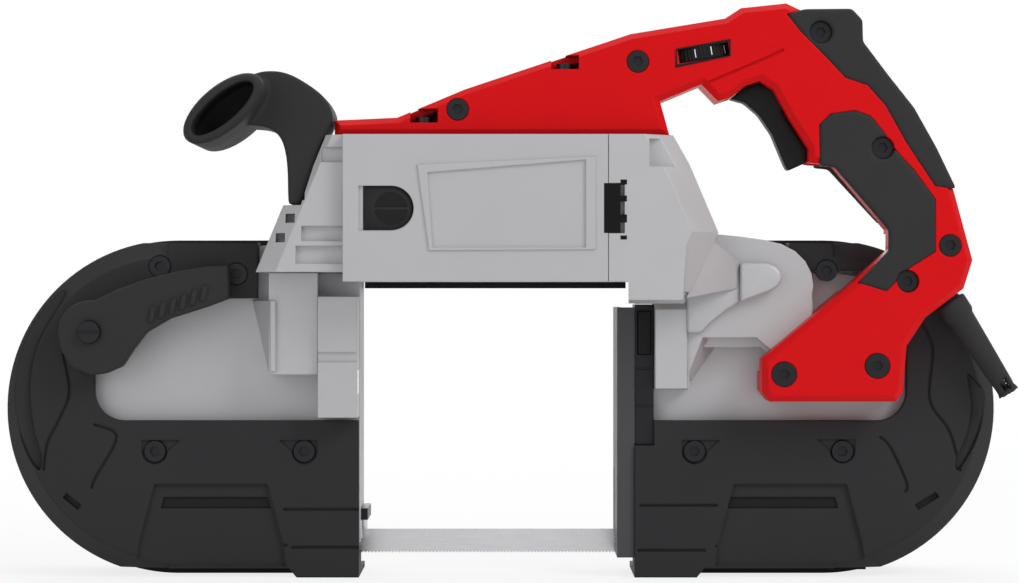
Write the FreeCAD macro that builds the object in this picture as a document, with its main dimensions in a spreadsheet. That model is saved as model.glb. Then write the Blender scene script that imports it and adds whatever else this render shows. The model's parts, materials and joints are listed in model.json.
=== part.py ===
import FreeCAD, Part
import Sketcher
import math
import os
from types import SimpleNamespace

# Portable band saw, in millimetres. X runs along the saw from the idler end to the grip end,
# Y runs from the motor side to the blade side, Z is up and the saw stands on its bumper feet.

SIZES = {
    # Shared fits
    "overrun": 2.0,
    "seat_gap": 0.3,
    "run_gap": 0.05,
    "press_gap": 0.02,
    # Blade, wheels and tyres
    "blade_length": 1140.0,
    "blade_width": 12.7,
    "blade_thickness": 0.5,
    "blade_height": 21.3,
    "blade_depth": 42.0,
    "blade_flat_run": 15.0,
    "wheel_spacing": 337.0,
    "idler_reach": 172.5,
    "tyre_gap": 0.15,
    "tyre_thickness": 3.0,
    "wheel_width": 16.0,
    "rim_thickness": 5.0,
    "web_thickness": 5.0,
    "hub_radius": 15.0,
    "wheel_hole_radius": 10.0,
    "wheel_hole_circle": 43.0,
    # Frame casting
    "deck_near": 8.0,
    "deck_thickness": 12.0,
    "deck_radius": 70.0,
    "throat_left": 77.0,
    "throat_right": 75.0,
    "throat_top": 152.3,
    "flange_thickness": 3.0,
    "flange_depth": 42.0,
    "backbone_bar": 4.5,
    "backbone_web": 6.0,
    "backbone_height": 30.0,
    "backbone_depth": 24.0,
    "backbone_overlap": 33.0,
    "deck_shoulder": 182.0,
    "front_block_width": 25.0,
    "front_block_height": 52.0,
    "front_block_rise": 20.0,
    # Motor housing and end cap
    "motor_height": 189.0,
    "motor_depth": -8.0,
    "motor_near": -42.0,
    "motor_far": 26.0,
    "motor_left": 83.0,
    "motor_right": 50.0,
    "motor_top": 226.2,
    "motor_bore": 30.0,
    "end_cap_rise": 6.0,
    "end_cap_chamfer": 10.0,
    "end_cap_foot": 45.0,
    "end_cap_shoulder": 190.9,
    "louvre_depth": 3.0,
    "panel_depth": 1.2,
    "panel_rise": 0.8,
    "brush_plate_depth": 1.5,
    "vent_depth": 5.0,
    # Gear case
    "gear_case_chamfer": 13.0,
    "gear_case_reach": 55.9,
    "gear_case_drop": 5.3,
    "drum_x": 121.6,
    "drum_height": 140.2,
    "drum_radius": 34.5,
    "drum_rise": 15.7,
    "boss_rise": 8.0,
    "ledge_rise": 9.0,
    "gear_case_block": 18.0,
    # Gear train
    "gear_module": 1.5,
    "worm_module": 1.6,
    "worm_pitch_radius": 8.0,
    "worm_length": 20.0,
    "worm_wheel_width": 10.0,
    "gear_width": 9.0,
    "gear_backlash": 0.35,
    "counter_x": 80.0,
    "counter_shaft_radius": 5.0,
    "gear_near": 22.0,
    "gear_pocket_wall": 2.5,
    "gear_pocket_gap": 1.0,
    "bearing_width": 7.0,
    "counter_bearing_radius": 8.5,
    # Motor internals
    "armature_shaft_radius": 5.0,
    "armature_radius": 17.0,
    "armature_length": 60.0,
    "armature_start": 45.0,
    "air_gap": 0.8,
    "commutator_radius": 11.0,
    "commutator_length": 20.0,
    "brush_x": 58.7,
    "brush_width": 6.0,
    "brush_height": 8.0,
    "brush_length": 10.0,
    "holder_wall": 1.5,
    "brush_cap_radius": 8.3,
    "brush_cap_height": 4.0,
    "fan_radius": 25.0,
    "fan_width": 8.0,
    "motor_bearing_radius": 11.0,
    # Drive shaft
    "drive_shaft_radius": 7.0,
    "drive_bearing_radius": 13.0,
    "bearing_floor": 2.0,
    "shaft_head_radius": 11.0,
    "shaft_head_height": 4.0,
    # Bumpers
    "bumper_near": -2.0,
    "bumper_step": 22.0,
    "rim_far": 58.0,
    "bumper_radius": 87.0,
    "bumper_face": 4.0,
    "bumper_wall": 3.0,
    "bumper_frame": 12.0,
    "bumper_foot_rise": 4.7,
    "bumper_top": 172.4,
    "bumper_bevel": 9.0,
    "front_bumper_top_end": 129.0,
    "rear_bumper_top_end": 106.5,
    "rear_bumper_left": 65.0,
    "rear_bumper_notch": 68.0,
    "rear_window_top": 158.0,
    "foot_length": 32.0,
    "foot_slope": 4.0,
    "foot_flat": 74.0,
    "window_bottom": 80.9,
    "window_top": 143.7,
    "window_reach": 40.5,
    "window_corner": 15.0,
    "emboss_depth": 1.8,
    "emboss_height": 48.0,
    "emboss_half_width": 29.0,
    # Handle shells
    "handle_left": 88.1,
    "handle_base": 91.4,
    "handle_length": 323.6,
    "handle_height": 202.1,
    "handle_near": -26.0,
    "handle_split": -8.0,
    "handle_relief_left": 170.0,
    "handle_relief_base": 136.0,
    "handle_relief_top": 177.0,
    "grip_inlay": 6.0,
    "grip_rise": 0.6,
    "shell_wall": 4.0,
    "shell_bevel": 3.0,
    "screw_recess": 2.8,
    "trigger_left": 113.2,
    "trigger_base": 208.8,
    "trigger_length": 39.7,
    "trigger_height": 45.1,
    "trigger_width": 14.0,
    "switch_length": 24.0,
    "switch_height": 17.0,
    "trigger_spring_radius": 3.0,
    "trigger_spring_wire": 0.8,
    "trigger_spring_pitch": 1.6,
    "dial_lead": 14.2,
    "dial_drop": 24.9,
    "dial_radius": 16.0,
    "dial_width": 7.0,
    "dial_window": 26.0,
    "dial_rise": 0.6,
    "mount_screw_recess": 7.0,
    # Front handle
    "front_handle_left": 136.0,
    "front_handle_base": 191.3,
    "front_handle_width": 47.5,
    "front_handle_height": 67.4,
    "front_handle_near": -30.0,
    "front_handle_far": 14.0,
    "bar_near": -58.0,
    "bar_far": 28.0,
    "bar_x": 141.8,
    "bar_height": 238.2,
    "bar_major": 24.0,
    "bar_minor": 11.3,
    "bar_wall": 4.5,
    "bar_hollow": 26.0,
    "bar_edge": 4.0,
    # Tension lever and carriage
    "lever_x": 213.7,
    "lever_height": 126.6,
    "lever_left": 229.9,
    "lever_base": 104.3,
    "lever_length": 87.1,
    "lever_rise": 56.3,
    "lever_thickness": 13.0,
    "tension_shaft_radius": 5.0,
    "lever_screw_radius": 5.5,
    "lever_screw_height": 3.0,
    "crank_throw": 6.0,
    "crank_radius": 5.0,
    "crank_rim": 1.5,
    "crank_slack": 2.0,
    "carriage_near": 22.5,
    "carriage_thickness": 7.0,
    "carriage_length": 62.0,
    "carriage_height": 32.0,
    "arm_wall": 4.5,
    "rail_height": 5.0,
    "rail_left": 22.0,
    "rail_length": 70.0,
    "axle_radius": 6.0,
    "idler_bearing_radius": 12.0,
    "spring_length": 26.0,
    "spring_radius": 4.8,
    "spring_wire": 1.8,
    "spring_pitch": 4.0,
    "spring_post": 6.0,
    # Guides and shoe
    "guide_left_x": 81.0,
    "guide_right_x": 71.0,
    "roller_radius": 6.0,
    "roller_height": 10.0,
    "roller_gap": 0.1,
    "roller_pin_radius": 2.0,
    "guide_length": 15.0,
    "guide_tail": 14.0,
    "guide_far": 56.0,
    "guide_thickness": 6.0,
    "back_gap": 0.3,
    "shoe_left": 56.1,
    "shoe_base": 10.1,
    "shoe_height": 129.0,
    "shoe_width": 8.9,
    "shoe_plate": 3.0,
    "shoe_near": 0.0,
    "shoe_far": 56.0,
    "shoe_web": 5.0,
    "shoe_slot_width": 8.0,
    "shoe_slot_height": 44.0,
    "bracket_base": 68.3,
    "bracket_height": 72.3,
    "bracket_depth": 28.0,
    "button_width": 6.4,
    "button_height": 22.0,
    "button_base": 115.0,
    "button_depth": 7.0,
    "button_rise": 3.5,
    # Blade channel, lamp and cord sleeve
    "channel_wall": 2.5,
    "channel_top": 175.5,
    "channel_lip": 149.0,
    "channel_far": 56.0,
    "lamp_left": 97.2,
    "lamp_base": 82.9,
    "lamp_width": 20.0,
    "lamp_height": 61.8,
    "lamp_near": -16.0,
    "lens_height": 2.5,
    "lens_length": 12.0,
    "lens_width": 16.0,
    "sleeve_length": 56.0,
    "sleeve_radius": 7.0,
    "sleeve_lip": 5.8,
    "sleeve_tip": 5.0,
    "sleeve_lip_length": 3.0,
    "sleeve_depth": -13.0,
    "sleeve_collar": 8.0,
    "sleeve_bore": 4.4,
    "sleeve_root": 9.0,
    "sleeve_root_radius": 5.5,
    # Fasteners
    "screw_head_radius": 5.4,
    "screw_head_height": 3.0,
    "screw_shank_radius": 2.2,
    "screw_length": 14.0,
    "screw_socket_radius": 2.8,
    "screw_socket_depth": 1.8,
    "bolt_head_radius": 6.2,
    "handle_screw_length": 20.0,
}

# Counts of teeth, holes and turns
PINION_TEETH = 16
IDLER_GEAR_TEETH = 34
DRIVE_GEAR_TEETH = 64
WORM_WHEEL_TEETH = 20
WHEEL_HOLES = 6
FAN_BLADES = 9
WIRE_STEPS = 40
SPRING_TURNS = 6
TRIGGER_SPRING_TURNS = 5
PRESSURE_ANGLE = 20.0
BAR_TILT = 40.0
DIAL_TILT = 9.5
SLEEVE_TILT = 147.3
BEVEL_SWEEP = 176.0

# Outlines as shares of their piece's own length and height, counted from its lower left corner
HANDLE_SHARES = [
    (0.000, 0.668), (0.000, 0.706), (0.098, 0.713), (0.204, 0.784), (0.464, 0.923),
    (0.612, 0.962), (0.637, 0.988), (0.708, 1.000), (0.734, 0.980), (0.807, 0.981),
    (0.822, 0.955), (0.823, 0.901), (0.864, 0.815), (0.903, 0.734), (0.938, 0.635),
    (0.970, 0.533), (1.000, 0.355), (0.986, 0.284), (0.926, 0.211), (0.897, 0.140),
    (0.891, 0.023), (0.880, 0.000), (0.683, 0.000), (0.670, 0.025), (0.670, 0.107),
    (0.689, 0.132), (0.810, 0.294), (0.872, 0.381), (0.872, 0.434), (0.786, 0.594),
    (0.743, 0.600), (0.743, 0.635), (0.713, 0.711), (0.688, 0.784), (0.667, 0.805),
    (0.645, 0.794), (0.623, 0.766), (0.601, 0.754), (0.575, 0.797), (0.510, 0.754),
    (0.525, 0.668),
]
GRIP_BACK_SHARES = [
    (0.708, 0.972), (0.737, 0.985), (0.810, 0.986), (0.827, 0.957), (0.828, 0.903),
    (0.868, 0.818), (0.908, 0.737), (0.943, 0.637), (0.974, 0.533), (0.940, 0.541),
    (0.895, 0.650), (0.862, 0.744), (0.834, 0.794), (0.800, 0.812), (0.769, 0.865),
    (0.731, 0.926),
]
GRIP_PALM_SHARES = [
    (0.759, 0.695), (0.777, 0.723), (0.815, 0.731), (0.840, 0.716), (0.857, 0.683),
    (0.883, 0.624), (0.908, 0.581), (0.941, 0.508), (0.941, 0.376), (0.903, 0.338),
    (0.864, 0.277), (0.820, 0.299), (0.868, 0.379), (0.868, 0.432), (0.783, 0.589),
    (0.760, 0.592),
]
GRIP_PALM_FAR_SHARES = [
    (0.759, 0.695), (0.777, 0.723), (0.815, 0.731), (0.840, 0.716), (0.857, 0.683),
    (0.883, 0.624), (0.908, 0.581), (0.941, 0.508), (0.941, 0.450), (0.863, 0.450),
    (0.783, 0.589), (0.760, 0.592),
]
HANDLE_HOLLOW_SHARES = [
    (0.020, 0.684), (0.110, 0.700), (0.215, 0.768), (0.470, 0.900), (0.500, 0.840),
    (0.490, 0.684),
]
TRIGGER_SHARES = [
    (0.000, 0.818), (0.186, 0.955), (0.367, 1.000), (0.455, 0.960), (0.587, 0.984),
    (0.736, 0.754), (0.680, 0.680), (0.742, 0.580), (1.000, 0.239), (1.000, 0.102),
    (0.742, 0.000), (0.690, 0.091), (0.535, 0.420), (0.367, 0.636), (0.186, 0.773),
]
TRIGGER_ROOM_SHARES = [
    (-0.080, 0.750), (-0.020, 1.050), (0.360, 1.220), (0.680, 1.200), (0.980, 0.860),
    (1.200, 0.400), (1.180, 0.020), (0.720, -0.040),
]
TRIGGER_STEM_SHARES = (0.662, 0.869)
TRIGGER_PUSH_SHARES = (0.868, 0.496)
LEVER_SHARES = [
    (0.000, 0.364), (0.018, 0.482), (0.100, 0.600), (0.229, 0.695), (0.345, 0.782),
    (0.509, 0.873), (0.706, 0.950), (0.871, 0.991), (0.994, 1.000), (1.000, 0.700),
    (0.876, 0.627), (0.653, 0.518), (0.512, 0.391), (0.435, 0.236), (0.371, 0.082),
    (0.276, 0.018), (0.194, 0.000), (0.080, 0.080), (0.020, 0.220),
]
NECK_TOP_SHARES = [
    (0.000, 0.915), (0.137, 0.975), (0.278, 1.000), (0.505, 0.984), (0.735, 0.899),
    (0.905, 0.801), (1.000, 0.657),
]
NECK_BACK_SHARES = [(1.000, 0.657), (0.922, 0.533), (0.789, 0.288), (0.659, 0.000), (0.526, 0.000)]
NECK_INNER_SHARES = [
    (0.526, 0.000), (0.514, 0.231), (0.486, 0.404), (0.429, 0.507), (0.335, 0.564),
    (0.189, 0.590), (0.042, 0.596),
]
GEAR_BLOCK_SHARES = [
    (0.000, 0.067), (0.000, 1.000), (0.590, 1.000), (0.742, 0.809), (1.000, 0.380),
    (0.751, 0.000), (0.447, 0.000), (0.447, 0.067),
]
# Depth of the sleeve's slot, drop of the gear block and depth of a tooth, each as a share
# of the radius or module it goes with
SLOT_SHARE = 0.6
BLOCK_SHARE = 1.25
DEDENDUM_SHARE = 1.25
# Places of the cord sleeve and of screws as shares of the handle's length and height
SLEEVE_SHARE = (0.9694, 0.2523)
HANDLE_SCREW_SHARES = [(0.193, 0.733), (0.475, 0.853), (0.964, 0.392)]
GRIP_BACK_SCREW_SHARES = [(0.762, 0.927)]
GRIP_PALM_SCREW_SHARES = [(0.859, 0.637), (0.898, 0.302)]
FOOT_BOLT_SHARES = [(0.704, 0.069), (0.850, 0.090)]
MOUNT_POCKET_SHARES = [(0.140, 0.700), (0.361, 0.834)]
# Bumper screws as shares of the bumper radius, counted from the wheel case's centre
FRONT_SCREW_SHARES = [(-0.109, -0.253), (0.774, -0.253), (-0.080, 0.841), (0.374, 0.797)]
REAR_SCREW_SHARES = [(-0.789, -0.253), (0.087, -0.253), (-0.007, 0.815)]
# Raised trapezoid on the bumper's lower face, as shares of its half width and height
EMBOSS_SHARES = [(-1.0, 1.0), (1.0, 1.0), (1.27, 0.38), (1.33, 0.12), (-1.33, 0.12), (-1.27, 0.38)]
# Louvre heights on the end cap, as shares of its height: lower edge and upper edge
LOUVRE_SHARES = [(0.060, 0.190), (0.225, 0.335), (0.800, 0.910)]
# Raised panel and recess on the motor face, as shares of the face's length and height
PANEL_SHARES = [(0.281, 0.793), (0.953, 0.847), (0.953, 0.217), (0.326, 0.210)]
RECESS_SHARES = [(0.320, 0.739), (0.916, 0.826), (0.916, 0.231), (0.339, 0.231)]
# Sections of the twisted blade, as shares of the quarter turn
TWIST_SHARES = [0.0, 0.125, 0.25, 0.375, 0.5, 0.625, 0.75, 0.875, 1.0]

doc = FreeCAD.newDocument("portable_band_saw")
sheet = doc.addObject("Spreadsheet::Sheet", "Sizes")
parts = {}


class Length:
    """A length with its present value and the sheet expression that gives it."""

    def __init__(self, value, text):
        self.value = float(value)
        self.text = text

    @staticmethod
    def of(other):
        return other if isinstance(other, Length) else Length(other, repr(float(other)))

    def __add__(self, other):
        other = Length.of(other)
        return Length(self.value + other.value, f"({self.text} + {other.text})")

    def __sub__(self, other):
        other = Length.of(other)
        return Length(self.value - other.value, f"({self.text} - {other.text})")

    def __mul__(self, other):
        other = Length.of(other)
        return Length(self.value * other.value, f"({self.text} * {other.text})")

    def __truediv__(self, other):
        other = Length.of(other)
        return Length(self.value / other.value, f"({self.text} / {other.text})")

    def __neg__(self):
        return Length(-self.value, f"(0 - {self.text})")

    def root(self):
        return Length(math.sqrt(self.value), f"sqrt({self.text})")


def fill_sheet():
    """Write each size to its own cell with an alias, and hand the sizes back as lengths."""
    lengths = SimpleNamespace()
    for row, (alias, value) in enumerate(SIZES.items(), start=1):
        sheet.set(f"A{row}", alias)
        sheet.set(f"B{row}", str(value))
        sheet.setAlias(f"B{row}", alias)
        setattr(lengths, alias, Length(value, f"Sizes.{alias}"))
    doc.recompute()
    return lengths


s = fill_sheet()
ZERO = Length(0.0, "0")


def keep(obj, name):
    """Register a finished sub-part under its node name."""
    obj.Label = name
    parts[name] = obj
    return obj


def bind(obj, **lengths):
    for name, length in lengths.items():
        obj.setExpression(name, length.text)


def place(obj, x, y, z, rotation=None):
    """Put an object at bound coordinates, turned by a fixed rotation."""
    if rotation is not None:
        obj.Placement = FreeCAD.Placement(FreeCAD.Vector(), rotation)
    for axis, length in zip("xyz", (x, y, z)):
        obj.setExpression(f"Placement.Base.{axis}", length.text)


X_AXIS = FreeCAD.Vector(1, 0, 0)
Y_AXIS = FreeCAD.Vector(0, 1, 0)
Z_AXIS = FreeCAD.Vector(0, 0, 1)
ALONG_X = FreeCAD.Rotation(Z_AXIS, X_AXIS)
ALONG_Y = FreeCAD.Rotation(Z_AXIS, Y_AXIS)
ALONG_Z = FreeCAD.Rotation()


# Sketch drawing

def arc_geometry(start, end, radius):
    """Arc of at most a half turn from start to end, counter-clockwise for a positive radius."""
    turn = 1 if radius > 0 else -1
    chord = end - start
    rise = math.sqrt(max(radius * radius - chord.Length * chord.Length / 4, 0))
    side = FreeCAD.Vector(-chord.y, chord.x, 0).normalize() * (rise * turn)
    centre = (start + end) / 2 + side
    first, last = (start, end) if turn > 0 else (end, start)
    angles = [math.atan2(p.y - centre.y, p.x - centre.x) for p in (first, last)]
    return Part.ArcOfCircle(Part.Circle(centre, Z_AXIS, abs(radius)), *angles)


def draw_outline(sketch, points):
    """Draw one closed outline; a point's third entry bends its outgoing side to that radius."""
    spots = [FreeCAD.Vector(p[0].value, p[1].value, 0) for p in points]
    count = len(points)
    first = sketch.GeometryCount
    ends = []
    for i, point in enumerate(points):
        start, end = spots[i], spots[(i + 1) % count]
        bend = point[2] if len(point) > 2 else None
        if bend is None:
            sketch.addGeometry(Part.LineSegment(start, end), False)
        else:
            sketch.addGeometry(arc_geometry(start, end, bend.value), False)
        ends.append((2, 1) if bend is not None and bend.value < 0 else (1, 2))
    for i, point in enumerate(points):
        here = first + i
        following = first + (i + 1) % count
        sketch.addConstraint(Sketcher.Constraint(
            "Coincident", here, ends[i][1], following, ends[(i + 1) % count][0]))
        for kind, length in (("DistanceX", point[0]), ("DistanceY", point[1])):
            index = sketch.addConstraint(
                Sketcher.Constraint(kind, -1, 1, here, ends[i][0], length.value))
            sketch.setExpression(f"Constraints[{index}]", length.text)
        if len(point) > 2:
            radius = point[2] if point[2].value > 0 else -point[2]
            index = sketch.addConstraint(Sketcher.Constraint("Radius", here, radius.value))
            sketch.setExpression(f"Constraints[{index}]", radius.text)


def draw_circle(sketch, x, y, radius):
    centre = FreeCAD.Vector(x.value, y.value, 0)
    geo = sketch.addGeometry(Part.Circle(centre, Z_AXIS, radius.value), False)
    for kind, length in (("DistanceX", x), ("DistanceY", y)):
        index = sketch.addConstraint(Sketcher.Constraint(kind, -1, 1, geo, 3, length.value))
        sketch.setExpression(f"Constraints[{index}]", length.text)
    index = sketch.addConstraint(Sketcher.Constraint("Radius", geo, radius.value))
    sketch.setExpression(f"Constraints[{index}]", radius.text)


def new_sketch(body, outlines, offset, plane):
    """Sketch on one of the body's origin planes, moved along its normal by a bound offset."""
    sketch = body.newObject("Sketcher::SketchObject", f"{body.Name}_sketch")
    support = next(f for f in body.Origin.OriginFeatures if f.Role == plane)
    sketch.AttachmentSupport = (support, [""])
    sketch.MapMode = "FlatFace"
    sketch.setExpression("AttachmentOffset.Base.z", offset.text)
    for outline in outlines:
        if isinstance(outline, tuple):
            draw_circle(sketch, *outline)
        else:
            draw_outline(sketch, outline)
    return sketch


# Body features. Low and high are the ends along the plane's own axis: Y for XZ, X for YZ, Z for XY.

def new_body(name, kept=True):
    body = doc.addObject("PartDesign::Body", name)
    return keep(body, name) if kept else body


def pad(body, outlines, low, high, plane="XZ_Plane"):
    offset = -high if plane == "XZ_Plane" else low
    feature = body.newObject("PartDesign::Pad", f"{body.Name}_pad")
    feature.Profile = new_sketch(body, outlines, offset, plane)
    bind(feature, Length=high - low)
    doc.recompute()
    return feature


def pocket(body, outlines, low, high, plane="XZ_Plane"):
    offset = -low if plane == "XZ_Plane" else high
    before = body.Shape.Volume
    feature = body.newObject("PartDesign::Pocket", f"{body.Name}_pocket")
    feature.Profile = new_sketch(body, outlines, offset, plane)
    bind(feature, Length=high - low)
    doc.recompute()
    if body.Shape.Volume >= before:
        raise RuntimeError(f"a pocket of {body.Label} cuts nothing")
    return feature


def chamfer(body, feature, size, wanted):
    """Chamfer the edges of a feature whose middle point the test accepts."""
    edges = []
    for number, edge in enumerate(feature.Shape.Edges, start=1):
        middle = edge.valueAt((edge.FirstParameter + edge.LastParameter) / 2)
        if wanted(edge, middle):
            edges.append(f"Edge{number}")
    bevel = body.newObject("PartDesign::Chamfer", f"{body.Name}_chamfer")
    bevel.Base = (feature, edges)
    bind(bevel, Size=size)
    doc.recompute()
    if not edges or bevel.Shape.isNull():
        raise RuntimeError(f"the bevel of {body.Label} can't be made")
    return bevel


def turned(name, profile, x, y, z, rotation):
    """Solid of revolution; the profile holds radius and height along its own axis."""
    body = new_body(name)
    sketch = new_sketch(body, [profile], ZERO, "XZ_Plane")
    feature = body.newObject("PartDesign::Revolution", f"{name}_turn")
    feature.Profile = sketch
    feature.ReferenceAxis = (sketch, ["V_Axis"])
    place(body, x, y, z, rotation)
    doc.recompute()
    return body


# Part primitives

def cylinder(name, radius, length, x, y, z, rotation):
    obj = doc.addObject("Part::Cylinder", name)
    bind(obj, Radius=radius, Height=length)
    place(obj, x, y, z, rotation)
    return obj


def box(name, low, high):
    """Box between two corners given as three lengths each."""
    obj = doc.addObject("Part::Box", name)
    bind(obj, Length=high[0] - low[0], Width=high[1] - low[1], Height=high[2] - low[2])
    place(obj, *low)
    return obj


def cut(name, base, tool):
    obj = doc.addObject("Part::Cut", name)
    obj.Base = base
    obj.Tool = tool
    return obj


def fuse(name, shapes):
    obj = doc.addObject("Part::MultiFuse", name)
    obj.Shapes = shapes
    return obj


def group(name, members):
    obj = doc.addObject("Part::Compound", name)
    obj.Links = members
    return keep(obj, name)


def ring(name, outer, inner, length, x, y, z, rotation):
    """Ring whose bore is cut right through."""
    blank = cylinder(f"{name}_blank", outer, length, x, y, z, rotation)
    back = rotation.multVec(Z_AXIS)
    start = [c - s.overrun * b for c, b in zip((x, y, z), (back.x, back.y, back.z))]
    bore = cylinder(f"{name}_bore", inner, length + s.overrun * 2, *start, rotation)
    return cut(name, blank, bore)


def rectangle(left, low, right, high):
    return [(left, low), (right, low), (right, high), (left, high)]


def by_shares(shares, left, base, length, height):
    return [(left + length * share[0], base + height * share[1]) for share in shares]


def on_handle(shares):
    return by_shares(shares, handle_left, s.handle_base, s.handle_length, s.handle_height)


# Places that several pieces share

deck_far = s.deck_near + s.deck_thickness
idler_x = -s.idler_reach
drive_x = s.wheel_spacing - s.idler_reach
wheel_radius = (s.blade_length - s.wheel_spacing * 2) / (2 * math.pi)
wheel_height = s.blade_height + wheel_radius
tyre_radius = wheel_radius - s.blade_thickness / 2 - s.tyre_gap
rim_radius = tyre_radius - s.tyre_thickness
wheel_near = s.blade_depth - s.wheel_width / 2
wheel_far = s.blade_depth + s.wheel_width / 2
guide_top = s.blade_height + s.blade_width / 2 + s.back_gap + s.guide_thickness
guide_low = guide_top - s.guide_thickness
flange_far = s.deck_near + s.flange_depth
backbone_far = s.deck_near + s.backbone_depth
handle_left = -s.handle_left
handle_far = s.deck_near
gear_far = s.gear_near + s.gear_width
worm_wheel_radius = s.worm_module * WORM_WHEEL_TEETH / 2
counter_height = s.motor_height - s.worm_pitch_radius - worm_wheel_radius
pinion_radius = s.gear_module * PINION_TEETH / 2
idler_gear_radius = s.gear_module * IDLER_GEAR_TEETH / 2
drive_gear_radius = s.gear_module * DRIVE_GEAR_TEETH / 2


def idler_gear_place():
    """Centre that meshes with both the counter pinion and the drive gear, on the throat side."""
    run = drive_x - s.counter_x
    rise = wheel_height - counter_height
    span_square = run * run + rise * rise
    span = span_square.root()
    to_pinion = pinion_radius + idler_gear_radius
    to_drive = drive_gear_radius + idler_gear_radius
    along = (to_pinion * to_pinion - to_drive * to_drive + span_square) / (span * 2)
    aside = (to_pinion * to_pinion - along * along).root()
    x = s.counter_x + (run * along + rise * aside) / span
    z = counter_height + (rise * along - run * aside) / span
    return x, z


idler_gear_x, idler_gear_height = idler_gear_place()


# Frame casting: both decks, backbone, throat wall, rails and bearing seats

def make_frame_casting():
    body = new_body("frame_casting")
    middle = s.bumper_radius
    bottom = middle - s.deck_radius
    top = middle + s.deck_radius
    left = -s.throat_left
    pad(body, [[
        (left, bottom), (idler_x, bottom, -s.deck_radius),
        (idler_x - s.deck_radius, middle, -s.deck_radius), (idler_x, top), (left, top),
    ]], s.deck_near, deck_far)
    bar_left = left - s.backbone_overlap
    bar_right = s.throat_right + s.overrun
    pad(body, [rectangle(bar_left, s.throat_top, bar_right, s.throat_top + s.backbone_bar)],
        s.deck_near, backbone_far)
    pad(body, [rectangle(bar_left, s.throat_top, bar_right, s.throat_top + s.backbone_height)],
        backbone_far - s.backbone_web, backbone_far)
    shoulder = s.counter_x + s.counter_bearing_radius * 2
    pad(body, [[
        (s.throat_right, bottom), (drive_x, bottom, s.deck_radius),
        (drive_x + s.deck_radius, middle, s.deck_radius), (drive_x, top),
        (shoulder + s.deck_radius / 3, top), (shoulder, s.deck_shoulder),
        (s.throat_right, s.deck_shoulder),
    ]], s.deck_near, deck_far)
    pad(body, [rectangle(left - s.flange_thickness, guide_top, left,
                         s.throat_top + s.backbone_bar)], s.deck_near, flange_far)
    block_right = -s.lamp_left - s.seat_gap
    block_left = block_right - s.front_block_width
    block_top = s.throat_top + s.backbone_bar
    pad(body, [rectangle(block_left, block_top - s.front_block_height, block_right, block_top)],
        s.deck_near - s.front_block_rise, s.deck_near)
    # Rails above and below the tension carriage, and the post that its spring pushes on
    rail_left = idler_x - s.rail_left
    rail_inner = s.carriage_height / 2 + s.seat_gap
    rail_far = s.carriage_near + s.carriage_thickness
    rail_right = rail_left + s.rail_length
    for side in (1, -1):
        inner = wheel_height + rail_inner * side
        outer = inner + s.rail_height * side
        low, high = (inner, outer) if side > 0 else (outer, inner)
        pad(body, [rectangle(rail_left, low, rail_right, high)], deck_far, rail_far)
    post_left = idler_x + s.carriage_length / 2 + s.spring_length
    pad(body, [rectangle(post_left, wheel_height - s.spring_radius * 2, post_left + s.spring_post,
                         wheel_height + s.spring_radius * 2)], deck_far, rail_far)
    # Gear pocket of the counter pinion and the stud of the idler gear
    pocket_radius = pinion_radius + s.gear_module + s.gear_pocket_gap
    pocket_far = gear_far + s.seat_gap
    pad(body, [(s.counter_x, counter_height, pocket_radius + s.gear_pocket_wall)],
        deck_far, pocket_far + s.gear_pocket_wall / 2)
    pocket(body, [(s.counter_x, counter_height, pocket_radius)], deck_far, pocket_far)
    pocket(body, [(idler_gear_x, idler_gear_height,
                   idler_gear_radius + s.gear_module + s.gear_pocket_gap)], deck_far, pocket_far)
    pad(body, [(idler_gear_x, idler_gear_height, s.counter_shaft_radius)], deck_far, pocket_far)
    # Bearing seats, shaft holes and the pivot hole of the tension shaft
    past = s.overrun
    pocket(body, [(s.counter_x, counter_height, s.counter_bearing_radius + s.press_gap)],
           deck_far - s.bearing_width, deck_far + past)
    pocket(body, [(s.counter_x, counter_height, s.counter_shaft_radius + s.seat_gap)],
           s.deck_near - past, deck_far)
    pocket(body, [(drive_x, wheel_height, s.drive_bearing_radius + s.press_gap)],
           s.deck_near + s.bearing_floor, deck_far + past)
    pocket(body, [(-s.lever_x, s.lever_height, s.tension_shaft_radius + s.run_gap)],
           s.deck_near - past, deck_far + past)


make_frame_casting()


# Motor housing, end cap and gear case

def make_motor_housing():
    body = new_body("motor_housing")
    left = -s.motor_left
    right = s.motor_right
    height = s.motor_top - s.throat_top
    length = right - left
    pad(body, [rectangle(left, s.throat_top, right, s.motor_top)], s.motor_near, s.motor_far)
    face = s.motor_near
    pad(body, [by_shares(PANEL_SHARES, left, s.throat_top, length, height)],
        face - s.panel_rise, face)
    pocket(body, [by_shares(RECESS_SHARES, left, s.throat_top, length, height)],
           face - s.panel_rise, face - s.panel_rise + s.panel_depth)
    plate_left = -s.brush_x - s.brush_cap_radius - s.brush_height
    plate_half = s.brush_cap_radius + s.brush_width / 2
    pocket(body, [[
        (plate_left, s.motor_height - plate_half),
        (-s.brush_x, s.motor_height - plate_half, plate_half),
        (plate_half - s.brush_x, s.motor_height, plate_half),
        (-s.brush_x, s.motor_height + plate_half), (plate_left, s.motor_height + plate_half),
    ]], face, face + s.brush_plate_depth)
    past = s.overrun
    pocket(body, [(s.motor_depth, s.motor_height, s.motor_bore)], left - past, right + past,
           "YZ_Plane")
    notch_low = s.throat_top - past
    pocket(body, [rectangle(s.deck_near - s.seat_gap, notch_low, s.motor_far + past,
                            s.throat_top + s.backbone_bar + s.seat_gap)],
           left - past, right + past, "YZ_Plane")
    pocket(body, [(-s.brush_x, s.motor_height, s.brush_cap_radius + s.seat_gap)],
           s.motor_near - past, s.motor_far + past)


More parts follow.
